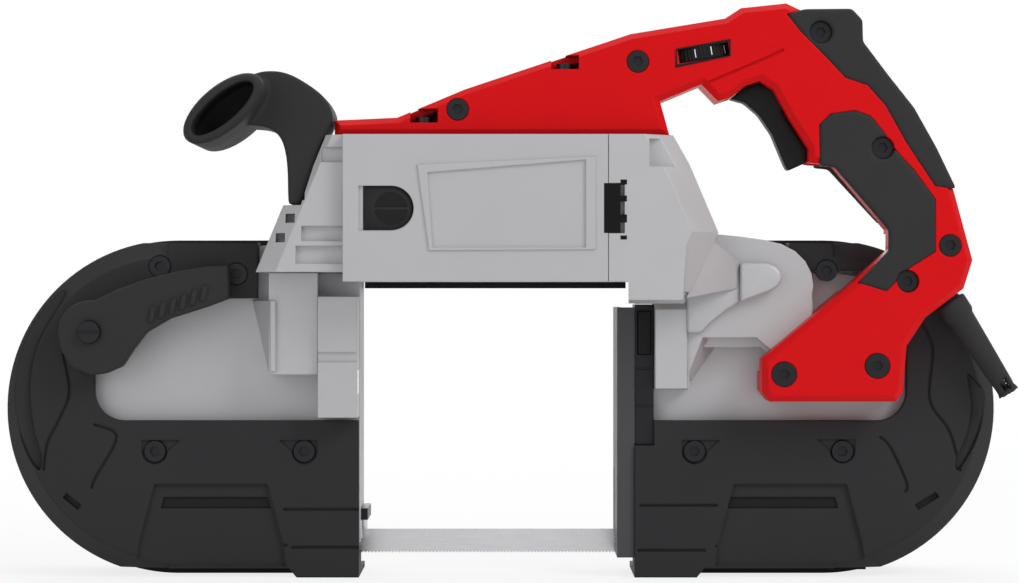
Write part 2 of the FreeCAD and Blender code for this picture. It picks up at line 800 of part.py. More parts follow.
def make_motor_end_cap():
    body = new_body("motor_end_cap")
    right = -s.motor_left
    near = s.motor_near + s.end_cap_rise
    foot = s.throat_top + s.backbone_bar + s.seat_gap
    neck_x = -s.front_handle_left + s.front_handle_width * NECK_BACK_SHARES[3][0]
    bend_x = -s.front_handle_left + s.front_handle_width * NECK_BACK_SHARES[2][0]
    bend_z = s.front_handle_base + s.front_handle_height * NECK_BACK_SHARES[2][1]
    top_x = -s.front_handle_left + s.front_handle_width * NECK_BACK_SHARES[1][0]
    gap = s.seat_gap
    base = pad(body, [[
        (right, foot), (right - s.end_cap_foot, foot),
        (right - s.end_cap_foot + s.bearing_width * 2, s.end_cap_shoulder),
        (neck_x + gap, s.end_cap_shoulder), (bend_x + gap, bend_z), (top_x + gap, s.motor_top),
        (right, s.motor_top),
    ]], near, s.bumper_step - s.seat_gap)
    slope_x = (right - s.end_cap_foot + s.bearing_width).value
    chamfer(body, base, s.end_cap_chamfer, lambda edge, middle: (
        abs(middle.y - near.value) < s.run_gap.value
        and abs(middle.x - slope_x) < s.bearing_width.value / 2
        and edge.Length > s.end_cap_rise.value * 2))
    height = s.motor_top - foot
    for low_share, high_share in LOUVRE_SHARES:
        low = foot + height * low_share
        high = foot + height * high_share
        reach = s.motor_left + s.front_block_width
        pocket(body, [rectangle(-reach + (low - foot) / 4, low, right + s.overrun, high)],
               near, near + s.louvre_depth)
    inner = s.motor_bore - s.end_cap_rise
    past = s.overrun
    pocket(body, [(s.motor_depth, s.motor_height, inner)], right - s.bearing_width,
           right + past, "YZ_Plane")
    pocket(body, [(s.motor_depth, s.motor_height, s.motor_bearing_radius + s.press_gap)],
           right - s.bearing_width * 2, right, "YZ_Plane")


def make_gear_case():
    body = new_body("gear_case")
    left = s.motor_right + s.seat_gap
    near = s.motor_near
    foot = s.throat_top - s.gear_case_drop
    base = pad(body, [by_shares(GEAR_BLOCK_SHARES, left, foot, s.gear_case_reach,
                                s.motor_top - foot)], near, s.deck_near)
    slant_left = (left + s.gear_case_reach / 2).value
    bottom = foot.value
    chamfer(body, base, s.gear_case_chamfer, lambda edge, middle: (
        abs(middle.y - near.value) < s.run_gap.value and middle.x > slant_left
        and middle.z > bottom + s.run_gap.value and middle.z < s.motor_top.value - s.run_gap.value))
    pad(body, [(s.drum_x, s.drum_height, s.drum_radius)], s.deck_near - s.drum_rise, s.deck_near)
    boss_half = s.boss_rise
    boss_z = s.drum_height + s.drum_radius / 2
    pad(body, [[
        (s.drum_x - boss_half, boss_z - boss_half),
        (s.drum_x + boss_half, boss_z - boss_half, boss_half),
        (s.drum_x + boss_half * 2, boss_z, boss_half),
        (s.drum_x + boss_half, boss_z + boss_half), (s.drum_x - boss_half, boss_z + boss_half),
    ]], s.deck_near - s.drum_rise - s.boss_rise, s.deck_near - s.drum_rise)
    block_left = s.throat_right + s.seat_gap
    block_base = s.drum_height - s.drum_radius * BLOCK_SHARE
    pad(body, [rectangle(block_left, block_base, block_left + s.gear_case_block,
                         foot + s.overrun)],
        s.deck_near - s.drum_rise, s.deck_near)
    bracket_left = s.shoe_left + s.shoe_width + s.seat_gap
    pad(body, [rectangle(bracket_left, s.bracket_base + s.bracket_height + s.seat_gap,
                         block_left + s.gear_case_block, foot + s.ledge_rise)],
        s.deck_near - s.drum_rise, s.deck_near)
    ledge_base = s.drum_height - s.drum_radius / 2
    pad(body, [rectangle(block_left, ledge_base - s.ledge_rise, s.drum_x + s.boss_rise, ledge_base)],
        s.deck_near - s.ledge_rise, s.deck_near)
    # Vent slot in the near face, fan chamber, bearing seat, worm chamber and worm wheel chamber
    past = s.overrun
    axis = (s.motor_depth, s.motor_height)
    fan_end = left + s.fan_width + s.overrun + s.seat_gap
    seat_end = fan_end + s.bearing_width
    vent_half = s.fan_radius
    pocket(body, [rectangle(left - past, s.motor_height - vent_half / 2, left + s.fan_width,
                            s.motor_height + vent_half / 2)], near, near + s.vent_depth)
    pocket(body, [(*axis, s.fan_radius + s.overrun)], left - past, fan_end, "YZ_Plane")
    pocket(body, [(*axis, s.motor_bearing_radius + s.press_gap)], fan_end - past, seat_end, "YZ_Plane")
    worm_room = s.worm_pitch_radius + s.worm_module + s.gear_pocket_gap
    pocket(body, [(*axis, worm_room)], seat_end - past, s.counter_x + s.worm_length / 2 + past,
           "YZ_Plane")
    wheel_room = worm_wheel_radius + s.worm_module + s.gear_pocket_gap
    half = s.worm_wheel_width / 2
    pocket(body, [(s.counter_x, counter_height, wheel_room)], s.motor_depth - half - past,
           s.deck_near + past)
    pocket(body, [(s.counter_x, counter_height, s.counter_bearing_radius + s.press_gap)],
           s.motor_depth - half - past - s.bearing_width, s.motor_depth)


make_motor_housing()
make_motor_end_cap()
make_gear_case()


# Motor internals on the armature axis

def on_armature(name, outer, start, length):
    """Ring pressed on the armature shaft."""
    return ring(name, outer, s.armature_shaft_radius + s.press_gap, length,
                start, s.motor_depth, s.motor_height, ALONG_X)


fan_start = s.motor_right + s.seat_gap + s.overrun
front_bearing_start = fan_start + s.fan_width + s.seat_gap
rear_bearing_start = -s.motor_left - s.bearing_width * 2
worm_start = s.counter_x - s.worm_length / 2


def make_armature():
    shaft_start = rear_bearing_start + s.seat_gap
    shaft_end = s.counter_x + s.worm_length / 2 + s.seat_gap
    keep(cylinder("armature_shaft", s.armature_shaft_radius, shaft_end - shaft_start,
                  shaft_start, s.motor_depth, s.motor_height, ALONG_X), "armature_shaft")
    keep(on_armature("armature_core", s.armature_radius, -s.armature_start, s.armature_length),
         "armature_core")
    keep(on_armature("commutator", s.commutator_radius,
                     -s.brush_x - s.commutator_length / 2, s.commutator_length), "commutator")
    bearings = [on_armature("rear_motor_bearing", s.motor_bearing_radius, rear_bearing_start,
                            s.bearing_width),
                on_armature("front_motor_bearing", s.motor_bearing_radius, front_bearing_start,
                            s.bearing_width)]
    for bearing in bearings:
        bearing.Tool.setExpression("Radius", (s.armature_shaft_radius + s.run_gap).text)
    group("motor_bearings", bearings)
    keep(ring("stator_core", s.motor_bore - s.press_gap, s.armature_radius + s.air_gap,
              s.armature_length, -s.armature_start, s.motor_depth, s.motor_height, ALONG_X),
         "stator_core")


def make_fan():
    disc = cylinder("fan_disc", s.fan_radius, s.holder_wall, fan_start, s.motor_depth,
                    s.motor_height, ALONG_X)
    hub = cylinder("fan_hub", s.commutator_radius, s.fan_width, fan_start, s.motor_depth,
                   s.motor_height, ALONG_X)
    blades = []
    for i in range(FAN_BLADES):
        blade = doc.addObject("Part::Box", f"fan_blade_{i + 1}")
        bind(blade, Length=s.fan_width, Width=s.holder_wall, Height=s.fan_radius - s.holder_wall)
        place(blade, fan_start, s.motor_depth, s.motor_height,
              FreeCAD.Rotation(X_AXIS, i * 360 / FAN_BLADES))
        blades.append(blade)
    bore = cylinder("fan_bore", s.armature_shaft_radius + s.press_gap, s.fan_width + s.overrun * 2,
                    fan_start - s.overrun, s.motor_depth, s.motor_height, ALONG_X)
    keep(cut("cooling_fan", fuse("fan_blank", [disc, hub] + blades), bore), "cooling_fan")


def make_worm():
    body = new_body("worm")
    root = s.worm_pitch_radius - s.worm_module * DEDENDUM_SHARE
    bore = s.armature_shaft_radius + s.press_gap
    pad(body, [(ZERO, ZERO, root), (ZERO, ZERO, bore)], ZERO, s.worm_length, "XY_Plane")
    pitch = s.worm_module * math.pi
    middle = s.worm_length / 2 - pitch
    tip = s.worm_pitch_radius + s.worm_module
    lean = math.tan(math.radians(PRESSURE_ANGLE))
    half = pitch / 4 - s.gear_backlash
    foot = half + s.worm_module * lean
    crest = half - s.worm_module * lean
    inside = root - s.press_gap * 5
    sketch = new_sketch(body, [[(inside, middle - foot), (tip, middle - crest),
                                (tip, middle + crest), (inside, middle + foot)]],
                        ZERO, "XZ_Plane")
    thread = body.newObject("PartDesign::AdditiveHelix", "worm_thread")
    thread.Profile = sketch
    thread.ReferenceAxis = (sketch, ["V_Axis"])
    thread.Mode = 0
    bind(thread, Pitch=pitch, Height=pitch * 2)
    place(body, worm_start, s.motor_depth, s.motor_height, ALONG_X)
    doc.recompute()


def make_brushes():
    """Brush holders, brushes and caps on both sides of the commutator, in line with Y."""
    holders, brushes, caps = [], [], []
    x = -s.brush_x
    z = s.motor_height
    for side, face in ((-1, s.motor_near + s.brush_plate_depth), (1, s.motor_far)):
        word = "near" if side < 0 else "far"
        contact = s.motor_depth + (s.commutator_radius + s.seat_gap) * side
        back = contact + s.brush_length * side
        seat = face - s.brush_cap_height * side
        hold = contact + s.overrun * side

        def span(name, start, end, width, height):
            low, high = (start, end) if side > 0 else (end, start)
            return box(f"{name}_{word}", (x - width / 2, low, z - height / 2),
                       (x + width / 2, high, z + height / 2))

        brushes.append(span("brush", contact, back, s.brush_width, s.brush_height))
        wall = s.holder_wall * 2
        outer = span("holder_block", hold, seat, s.brush_width + wall, s.brush_height + wall)
        inner = span("holder_room", hold - s.overrun * side, seat + s.overrun * side,
                     s.brush_width + s.seat_gap, s.brush_height + s.seat_gap)
        holders.append(cut(f"holder_{word}", outer, inner))
        start = seat if side > 0 else face - s.overrun / 4
        height = s.brush_cap_height if side > 0 else s.brush_cap_height + s.overrun / 4
        disc = cylinder(f"cap_disc_{word}", s.brush_cap_radius, height, x, start, z, ALONG_Y)
        slot_face = face if side > 0 else face - s.overrun / 4
        slot = span("cap_slot", slot_face - s.holder_wall * side, slot_face + s.overrun * side,
                    s.brush_cap_radius * 3, s.holder_wall)
        caps.append(cut(f"cap_{word}", disc, slot))
    group("brush_holders", holders)
    group("carbon_brushes", brushes)
    group("brush_caps", caps)


make_armature()
make_fan()
make_worm()
make_brushes()


# Gears: involute flanks by formula, thinned by the backlash

def gear_wire(teeth, module, backlash, phase, x, y, z):
    """Closed outline of a spur gear in the plane across Y, with one tooth centred on the phase."""
    pitch_radius = module * teeth / 2
    base = pitch_radius * math.cos(math.radians(PRESSURE_ANGLE))
    root = pitch_radius - module * DEDENDUM_SHARE
    tip = pitch_radius + module

    def involute(radius):
        angle = math.acos(min(base / radius, 1))
        return math.tan(angle) - angle

    half_pitch_angle = math.pi / (2 * teeth) - backlash / (2 * pitch_radius)
    flank = []
    for radius in (root, pitch_radius, tip):
        flank.append((radius, half_pitch_angle + involute(pitch_radius) - involute(radius)))
    points = []
    for tooth in range(teeth):
        centre = phase + tooth * 2 * math.pi / teeth
        for radius, half in flank:
            points.append((radius, centre - half))
        for radius, half in reversed(flank):
            points.append((radius, centre + half))
    corners = [FreeCAD.Vector(x + r * math.cos(a), y, z + r * math.sin(a)) for r, a in points]
    return Part.makePolygon(corners + corners[:1])


def make_gear(name, teeth, module, phase, x, z, near, width, bore, lean=0.0):
    """Gear across Y; the lean turns its far face against its near one, as a worm wheel needs."""
    twist = lean * width.value / (module.value * teeth / 2)
    faces = [gear_wire(teeth, module.value, s.gear_backlash.value, phase + turn, x.value, y.value,
                       z.value) for turn, y in ((twist / 2, near), (-twist / 2, near + width))]
    blank = Part.makeLoft(faces, True, True)
    start = FreeCAD.Vector(x.value, near.value - s.overrun.value, z.value)
    hole = Part.makeCylinder(bore.value, width.value + 2 * s.overrun.value, start, Y_AXIS)
    gear = doc.addObject("Part::Feature", name)
    gear.Shape = blank.cut(hole)
    return keep(gear, name)


def facing_phase(phase, teeth, from_place, to_place, other_teeth):
    """Phase of a gear that meshes with another one whose phase is known."""
    rise = (to_place[1] - from_place[1]).value
    run = (to_place[0] - from_place[0]).value
    heading = math.atan2(rise, run)
    offset = (phase - heading) * teeth / other_teeth
    return heading + math.pi - offset + math.pi / other_teeth


def make_gears():
    counter = (s.counter_x, counter_height)
    stud = (idler_gear_x, idler_gear_height)
    drive = (drive_x, wheel_height)
    shaft_bore = s.counter_shaft_radius + s.press_gap
    pinion_phase = 0.0
    stud_phase = facing_phase(pinion_phase, PINION_TEETH, counter, stud, IDLER_GEAR_TEETH)
    drive_phase = facing_phase(stud_phase, IDLER_GEAR_TEETH, stud, drive, DRIVE_GEAR_TEETH)
    make_gear("counter_pinion", PINION_TEETH, s.gear_module, pinion_phase, *counter, s.gear_near,
              s.gear_width, shaft_bore)
    make_gear("idler_gear", IDLER_GEAR_TEETH, s.gear_module, stud_phase, *stud, s.gear_near,
              s.gear_width, s.counter_shaft_radius + s.run_gap)
    make_gear("drive_gear", DRIVE_GEAR_TEETH, s.gear_module, drive_phase, *drive, s.gear_near,
              s.gear_width, s.drive_shaft_radius + s.press_gap)
    worm_lead = s.worm_module.value / (2 * s.worm_pitch_radius.value)
    gap_up = math.pi / 2 + math.pi / WORM_WHEEL_TEETH
    make_gear("worm_wheel", WORM_WHEEL_TEETH, s.worm_module, gap_up, *counter,
              s.motor_depth - s.worm_wheel_width / 2, s.worm_wheel_width, shaft_bore, worm_lead)
    near_bearing = s.motor_depth - s.worm_wheel_width / 2 - s.overrun - s.bearing_width
    start = near_bearing + s.seat_gap
    keep(cylinder("countershaft", s.counter_shaft_radius, gear_far - start, s.counter_x, start,
                  counter_height, ALONG_Y), "countershaft")
    bearings = []
    for word, y in (("near", near_bearing), ("far", deck_far - s.bearing_width)):
        bearings.append(ring(f"counter_bearing_{word}", s.counter_bearing_radius,
                             s.counter_shaft_radius + s.run_gap, s.bearing_width, s.counter_x, y,
                             counter_height, ALONG_Y))
    group("counter_bearings", bearings)
    bearing_near = s.deck_near + s.bearing_floor
    keep(ring("drive_bearings", s.drive_bearing_radius, s.drive_shaft_radius + s.run_gap,
              deck_far - bearing_near, drive_x, bearing_near, wheel_height, ALONG_Y),
         "drive_bearings")
    shaft_near = bearing_near + s.seat_gap
    end = wheel_far - shaft_near
    head = end + s.shaft_head_height
    turned("drive_shaft", [(ZERO, ZERO), (s.drive_shaft_radius, ZERO), (s.drive_shaft_radius, end),
                           (s.shaft_head_radius, end), (s.shaft_head_radius, head), (ZERO, head)],
           drive_x, shaft_near, wheel_height, ALONG_Y)


make_gears()


# Wheels, tyres and the blade

def make_wheel(name, tyre_name, bore, x):
    low = (s.wheel_width - s.web_thickness) / 2
    high = low + s.web_thickness
    inner = rim_radius - s.rim_thickness
    body = turned(name, [
        (bore, ZERO), (s.hub_radius, ZERO), (s.hub_radius, low), (inner, low), (inner, ZERO),
        (rim_radius, ZERO), (rim_radius, s.wheel_width), (inner, s.wheel_width), (inner, high),
        (s.hub_radius, high), (s.hub_radius, s.wheel_width), (bore, s.wheel_width),
    ], x, wheel_near, wheel_height, ALONG_Y)
    turns = [2 * math.pi * i / WHEEL_HOLES for i in range(WHEEL_HOLES)]
    pocket(body, [(s.wheel_hole_circle * math.cos(a), s.wheel_hole_circle * math.sin(a),
                   s.wheel_hole_radius) for a in turns], low - s.overrun, high + s.overrun,
           "XY_Plane")
    keep(ring(tyre_name, tyre_radius, rim_radius + s.press_gap, s.wheel_width, x, wheel_near,
              wheel_height, ALONG_Y), tyre_name)


def band_outline(radius, lower_left, lower_right):
    """Edges of the open blade loop at one radius, from the lower left end to the lower right one."""
    low = FreeCAD.Vector(0, 0, wheel_height.value - radius)
    up = FreeCAD.Vector(0, 0, wheel_height.value + radius)
    left = FreeCAD.Vector(idler_x.value, 0, 0)
    right = FreeCAD.Vector(drive_x.value, 0, 0)
    reach = FreeCAD.Vector(radius, 0, wheel_height.value)
    mirrored = FreeCAD.Vector(-radius, 0, wheel_height.value)
    start = FreeCAD.Vector(lower_left, 0, low.z)
    end = FreeCAD.Vector(lower_right, 0, low.z)
    return [
        Part.LineSegment(start, left + low).toShape(),
        Part.Arc(left + low, left + mirrored, left + up).toShape(),
        Part.LineSegment(left + up, right + up).toShape(),
        Part.Arc(right + up, right + reach, right + low).toShape(),
        Part.LineSegment(right + low, end).toShape(),
    ], start, end


def blade_section(x, quarter):
    """Cross-section of the lower run at one place, turned from lying flat to standing upright."""
    angle = math.pi / 2 * quarter
    wide = FreeCAD.Vector(0, math.cos(angle), math.sin(angle)) * (s.blade_width.value / 2)
    thick = FreeCAD.Vector(0, -math.sin(angle), math.cos(angle)) * (s.blade_thickness.value / 2)
    centre = FreeCAD.Vector(x, s.blade_depth.value, s.blade_height.value)
    corners = [centre + wide + thick, centre + wide - thick, centre - wide - thick,
               centre - wide + thick]
    return Part.makePolygon(corners + corners[:1])


def make_blade():
    left_flat = (idler_x + s.blade_flat_run).value
    right_flat = (drive_x - s.blade_flat_run).value
    left_guide = (-s.guide_left_x - s.guide_length / 2).value
    right_guide = (s.guide_right_x + s.guide_length / 2).value
    outer, outer_start, outer_end = band_outline(
        (wheel_radius + s.blade_thickness / 2).value, left_flat, right_flat)
    inner, inner_start, inner_end = band_outline(
        (wheel_radius - s.blade_thickness / 2).value, left_flat, right_flat)
    ends = [Part.LineSegment(outer_end, inner_end).toShape(),
            Part.LineSegment(inner_start, outer_start).toShape()]
    loop = Part.Wire(Part.__sortEdges__(outer + inner + ends))
    band = Part.Face(loop).extrude(FreeCAD.Vector(0, s.blade_width.value, 0))
    band.translate(FreeCAD.Vector(0, (s.blade_depth - s.blade_width / 2).value, 0))
    eased = [share * share * (3 - 2 * share) for share in TWIST_SHARES]
    runs = [(left_flat, left_guide), (right_guide, right_flat)]
    lower = []
    for (start, end), quarters in zip(runs, (eased, eased[::-1])):
        sections = [blade_section(start + (end - start) * share, quarter)
                    for share, quarter in zip(TWIST_SHARES, quarters)]
        lower.append(Part.makeLoft(sections, True, True))
    upright = [blade_section(x, 1) for x in (left_guide, right_guide)]
    lower.append(Part.makeLoft(upright, True, True))
    blade = doc.addObject("Part::Feature", "saw_blade")
    blade.Shape = band.multiFuse(lower).removeSplitter()
    keep(blade, "saw_blade")


make_wheel("drive_wheel", "drive_tyre", s.drive_shaft_radius + s.press_gap, drive_x)
make_wheel("idler_wheel", "idler_tyre", s.idler_bearing_radius + s.press_gap, idler_x)
make_blade()


# Springs: one unbroken round wire along its own axis

def make_spring(name, radius, wire, pitch, turns, centre, direction):
    """Open spring; its least gap between curls is measured on points of the wire's middle line."""
    helix = Part.makeHelix(pitch.value, pitch.value * turns, radius.value)
    circle = Part.Circle(FreeCAD.Vector(radius.value, 0, 0), Y_AXIS, wire.value / 2)
    section = Part.Wire(circle.toShape())
    tube = Part.Wire(helix).makePipeShell([section], True, True)
    line = Part.Wire(helix).discretize(turns * WIRE_STEPS)
    apart = WIRE_STEPS // 2 + 1
    gap = min((a - b).Length for i, a in enumerate(line) for b in line[i + apart:]) - wire.value
    print(f"{name}: least gap between curls {gap:.2f} mm")
    spring = doc.addObject("Part::Feature", name)
    spring.Shape = tube
    spring.Placement = FreeCAD.Placement(centre, FreeCAD.Rotation(Z_AXIS, direction))
    return keep(spring, name)


# Tension lever, crank shaft, carriage, axle and spring

def make_tension_set():
    lever_x = -s.lever_x
    lever_far = s.bumper_near - s.seat_gap
    lever_near = lever_far - s.lever_thickness
    lever = new_body("tension_lever")
    pad(lever, [by_shares(LEVER_SHARES, -s.lever_left, s.lever_base, s.lever_length,
                          s.lever_rise)], lever_near, lever_far)
    pad(lever, [(lever_x, s.lever_height, s.lever_left - s.lever_x)], lever_near, lever_far)
    bore = s.tension_shaft_radius + s.press_gap
    pocket(lever, [(lever_x, s.lever_height, bore)], lever_near - s.overrun, lever_far + s.overrun)
    disc_near = deck_far + s.seat_gap
    disc_far = s.carriage_near - s.seat_gap
    carriage_far = s.carriage_near + s.carriage_thickness
    shaft = new_body("tension_shaft")
    pad(shaft, [(lever_x, s.lever_height, s.lever_screw_radius)],
        lever_near - s.lever_screw_height, lever_near)
    pad(shaft, [(lever_x, s.lever_height, s.tension_shaft_radius)], lever_near, disc_near)
    crank_disc = s.crank_throw + s.crank_radius + s.crank_rim
    pad(shaft, [(lever_x, s.lever_height, crank_disc)], disc_near, disc_far)
    pad(shaft, [(lever_x - s.crank_throw, s.lever_height, s.crank_radius)], disc_far, carriage_far)
    slot = s.lever_screw_radius * 2
    pocket(shaft, [rectangle(lever_x - slot, s.lever_height - s.holder_wall / 2, lever_x + slot,
                             s.lever_height + s.holder_wall / 2)],
           lever_near - s.lever_screw_height, lever_near - s.lever_screw_height + s.holder_wall)
    carriage = new_body("tension_carriage")
    right = idler_x + s.carriage_length / 2
    left = idler_x - s.carriage_length / 2
    low = wheel_height - s.carriage_height / 2
    high = wheel_height + s.carriage_height / 2
    slot_x = lever_x - s.crank_throw
    slot_half = s.crank_radius + s.crank_slack
    slot_rise = s.crank_radius + s.crank_throw + s.crank_slack
    arm_left = slot_x - slot_half - s.arm_wall
    arm_right = slot_x + slot_half + s.arm_wall
    arm_top = s.lever_height + slot_rise + s.arm_wall
    pad(carriage, [[
        (right, low), (right, high), (arm_right, high), (arm_right, arm_top), (arm_left, arm_top),
        (arm_left, high - s.arm_wall * 2), (left, low),
    ]], s.carriage_near, carriage_far)
    pocket(carriage, [rectangle(slot_x - slot_half, s.lever_height - slot_rise, slot_x + slot_half,
                                s.lever_height + slot_rise)], s.carriage_near, carriage_far)
    pocket(carriage, [(idler_x, wheel_height, s.axle_radius + s.press_gap)],
           s.carriage_near, carriage_far)
    length = wheel_far + s.seat_gap - s.carriage_near
    head = length + s.shaft_head_height
    head_radius = s.idler_bearing_radius - s.overrun
    turned("idler_axle", [(ZERO, ZERO), (s.axle_radius, ZERO), (s.axle_radius, length),
                          (head_radius, length), (head_radius, head), (ZERO, head)],
           idler_x, s.carriage_near, wheel_height, ALONG_Y)
    keep(ring("idler_bearing", s.idler_bearing_radius, s.axle_radius + s.run_gap, s.wheel_width,
              idler_x, wheel_near, wheel_height, ALONG_Y), "idler_bearing")
    middle = s.carriage_near + s.carriage_thickness / 2
    start = right + (s.spring_length - s.spring_pitch * SPRING_TURNS) / 2
    make_spring("tension_spring", s.spring_radius, s.spring_wire, s.spring_pitch, SPRING_TURNS,
                FreeCAD.Vector(start.value, middle.value, wheel_height.value), X_AXIS)


make_tension_set()


# Bumpers: front wall with a window, shallow frame around the deck and the rim around the wheel

def bevel_rim(body, centre_x, side):
    """Turn a bevel on the round near edge, about the wheel case's own axis."""
    past = s.overrun
    outer = centre_x + (s.bumper_radius + past) * side
    inner = centre_x + (s.bumper_radius - s.bumper_bevel - past) * side
    low = s.bumper_near - past
    high = s.bumper_near + s.bumper_bevel + past
    sketch = new_sketch(body, [[(inner, low), (outer, low), (outer, high)]], s.bumper_radius,
                        "XY_Plane")
    axis = sketch.addGeometry(Part.LineSegment(
        FreeCAD.Vector(centre_x.value, low.value, 0), FreeCAD.Vector(centre_x.value, high.value, 0)),
        True)
    for point, length in ((1, low), (2, high)):
        for kind, value in (("DistanceX", centre_x), ("DistanceY", length)):
            index = sketch.addConstraint(
                Sketcher.Constraint(kind, -1, 1, axis, point, value.value))
            sketch.setExpression(f"Constraints[{index}]", value.text)
    groove = body.newObject("PartDesign::Groove", f"{body.Name}_bevel")
    groove.Profile = sketch
    groove.ReferenceAxis = (sketch, ["Axis0"])
    groove.Midplane = True
    groove.Angle = BEVEL_SWEEP
    doc.recompute()


def make_bumper(name, centre_x, side, window_top, top_end, foot_end, end_points):
    """One bumper; side is -1 for the idler end and 1 for the drive end."""
    body = new_body(name)
    radius = s.bumper_radius
    turn = radius * side
    flat_half = s.foot_flat / 2
    rise = s.bumper_foot_rise
    low_run = (radius * radius - (radius - rise) * (radius - rise)).root()
    top_run = (radius * radius - (s.bumper_top - radius) * (s.bumper_top - radius)).root()
    foot_start = foot_end + s.foot_length * side
    window_x = centre_x + s.window_reach * side
    corner = s.window_corner
    inside = window_x - corner * side
    pad(body, [[
        (foot_end, ZERO), (foot_start, ZERO), (foot_start + s.foot_slope * side, rise),
        (centre_x + low_run * side, rise, turn), (centre_x + radius * side, radius, turn),
        (centre_x + top_run * side, s.bumper_top), (top_end, s.bumper_top), (top_end, window_top),
        (inside, window_top, corner * -side), (window_x, window_top - corner),
        (window_x, s.window_bottom + corner, corner * -side), (inside, s.window_bottom),
        *end_points,
    ]], s.bumper_near, s.bumper_step)
    bevel_rim(body, centre_x, side)
    rim_end = foot_end
    rim_top_end = -s.throat_left - s.backbone_overlap - s.overrun if side < 0 else s.rear_bumper_top_end
    wall = s.bumper_wall
    inner = turn - wall * side
    double = radius * 2
    pad(body, [[
        (rim_end, ZERO), (centre_x, ZERO, turn), (centre_x + radius * side, radius, turn),
        (centre_x, double), (rim_top_end, double), (rim_top_end, double - wall),
        (centre_x, double - wall, -inner), (centre_x + inner, radius, -inner),
        (centre_x, wall), (rim_end, wall),
    ]], s.bumper_step, s.rim_far)
    room = radius - s.bumper_frame
    past = rim_end - s.overrun * side
    pocket(body, [[
        (past, s.bumper_frame), (centre_x, s.bumper_frame, room * side),
        (centre_x + room * side, radius, room * side), (centre_x, double - s.bumper_frame),
        (past, double - s.bumper_frame),
    ]], s.bumper_near + s.bumper_face, s.bumper_step)
    emboss_x = centre_x + (s.emboss_half_width * 2 / 3) * -side
    pocket(body, [[(emboss_x + s.emboss_half_width * share[0], s.emboss_height * share[1])
                   for share in EMBOSS_SHARES]], s.bumper_near, s.bumper_near + s.emboss_depth)
    return body


def screw(name, x, y, z, head_radius, length):
    """Cap screw along Y with its socket towards the viewer's side."""
    head = cylinder(f"{name}_head", head_radius, s.screw_head_height, x, y, z, ALONG_Y)
    shank = cylinder(f"{name}_shank", s.screw_shank_radius, length + s.screw_head_height, x, y, z,
                     ALONG_Y)
    socket = doc.addObject("Part::Prism", f"{name}_socket")
    bind(socket, Circumradius=s.screw_socket_radius, Height=s.screw_socket_depth + s.overrun)
    place(socket, x, y - s.overrun, z, ALONG_Y)
    return cut(name, fuse(f"{name}_blank", [head, shank]), socket)


def screw_holes(body, spots, near, far):
    """Clearance holes for screw shanks along Y."""
    pocket(body, [(x, z, s.screw_shank_radius + s.press_gap) for x, z in spots], near, far)


def make_bumpers():
    places = {
        "front_bumper": [(idler_x + s.bumper_radius * a, s.bumper_radius * (1 + b))
                         for a, b in FRONT_SCREW_SHARES],
        "rear_bumper": [(drive_x + s.bumper_radius * a, s.bumper_radius * (1 + b))
                        for a, b in REAR_SCREW_SHARES],
    }
    front = make_bumper("front_bumper", idler_x, -1, s.window_top, -s.front_bumper_top_end,
                        -s.throat_left, [(-s.throat_left, s.window_bottom)])
    rear = make_bumper("rear_bumper", drive_x, 1, s.rear_window_top,
                       s.drum_x + s.drum_radius * 2 / 3, s.rear_bumper_left,
                       [(s.throat_right, s.window_bottom), (s.throat_right, s.rear_bumper_notch),
                        (s.rear_bumper_left, s.rear_bumper_notch)])
    screws = []
    seat = s.bumper_near + s.screw_recess
    for body in (front, rear):
        spots = places[body.Label]
        pocket(body, [(x, z, s.screw_head_radius + s.seat_gap) for x, z in spots],
               s.bumper_near, seat)
        screw_holes(body, spots, seat, s.bumper_step)
        screw_holes(parts["frame_casting"], spots, s.deck_near, deck_far)
        for x, z in spots:
            screws.append(screw(f"bumper_screw_{len(screws) + 1}", x, seat - s.screw_head_height, z,
                                s.screw_head_radius, s.screw_length))
    pocket(front, [(-s.lever_x, s.lever_height, s.tension_shaft_radius + s.seat_gap)],
           s.bumper_near - s.overrun, s.bumper_near + s.bumper_face + s.overrun)
    pocket(rear, [(s.drum_x, s.drum_height, s.drum_radius + s.seat_gap)],
           s.bumper_near - s.overrun, s.deck_near + s.overrun)
    group("bumper_screws", screws)


make_bumpers()


# Main handle: two shells, soft grips, trigger, switch, dial and screws

def tilted_slot(width, height):
    """Corners of a slot around the dial, leaning with the handle."""
    tilt = math.radians(DIAL_TILT)
    corners = []
    for along, across in ((-1, -1), (1, -1), (1, 1), (-1, 1)):
        corners.append((
            dial_x + width / 2 * (along * math.cos(tilt)) - height / 2 * (across * math.sin(tilt)),
            dial_z + width / 2 * (along * math.sin(tilt))
            + height / 2 * (across * math.cos(tilt))))
    return corners


def trigger_points(shares):
    return by_shares(shares, s.trigger_left, s.trigger_base, s.trigger_length, s.trigger_height)


trigger_near = s.handle_split - s.trigger_width / 2
trigger_far = s.handle_split + s.trigger_width / 2
switch_x = handle_left + s.handle_length * HANDLE_HOLLOW_SHARES[4][0] - s.switch_length * 3 / 2
switch_z = s.handle_base + s.handle_height * HANDLE_HOLLOW_SHARES[5][1]
dial_x = s.trigger_left - s.dial_lead
dial_y = s.handle_near - s.dial_rise + s.dial_radius
dial_z = s.handle_base + s.handle_height - s.dial_drop


def sleeve_slot():
    """Corners of the straight-sided slot that holds the cord sleeve's root."""
    along = FreeCAD.Rotation(Y_AXIS, SLEEVE_TILT).multVec(Z_AXIS)
    x, z = on_handle([SLEEVE_SHARE])[0]
    half = s.sleeve_root_radius + s.press_gap
    corners = []
    for end, side in ((-s.sleeve_root, -half), (s.sleeve_root, -half), (s.sleeve_root, half),
                      (-s.sleeve_root, half)):
        corners.append((x + end * along.x + side * along.z, z + end * along.z - side * along.x))
    return corners


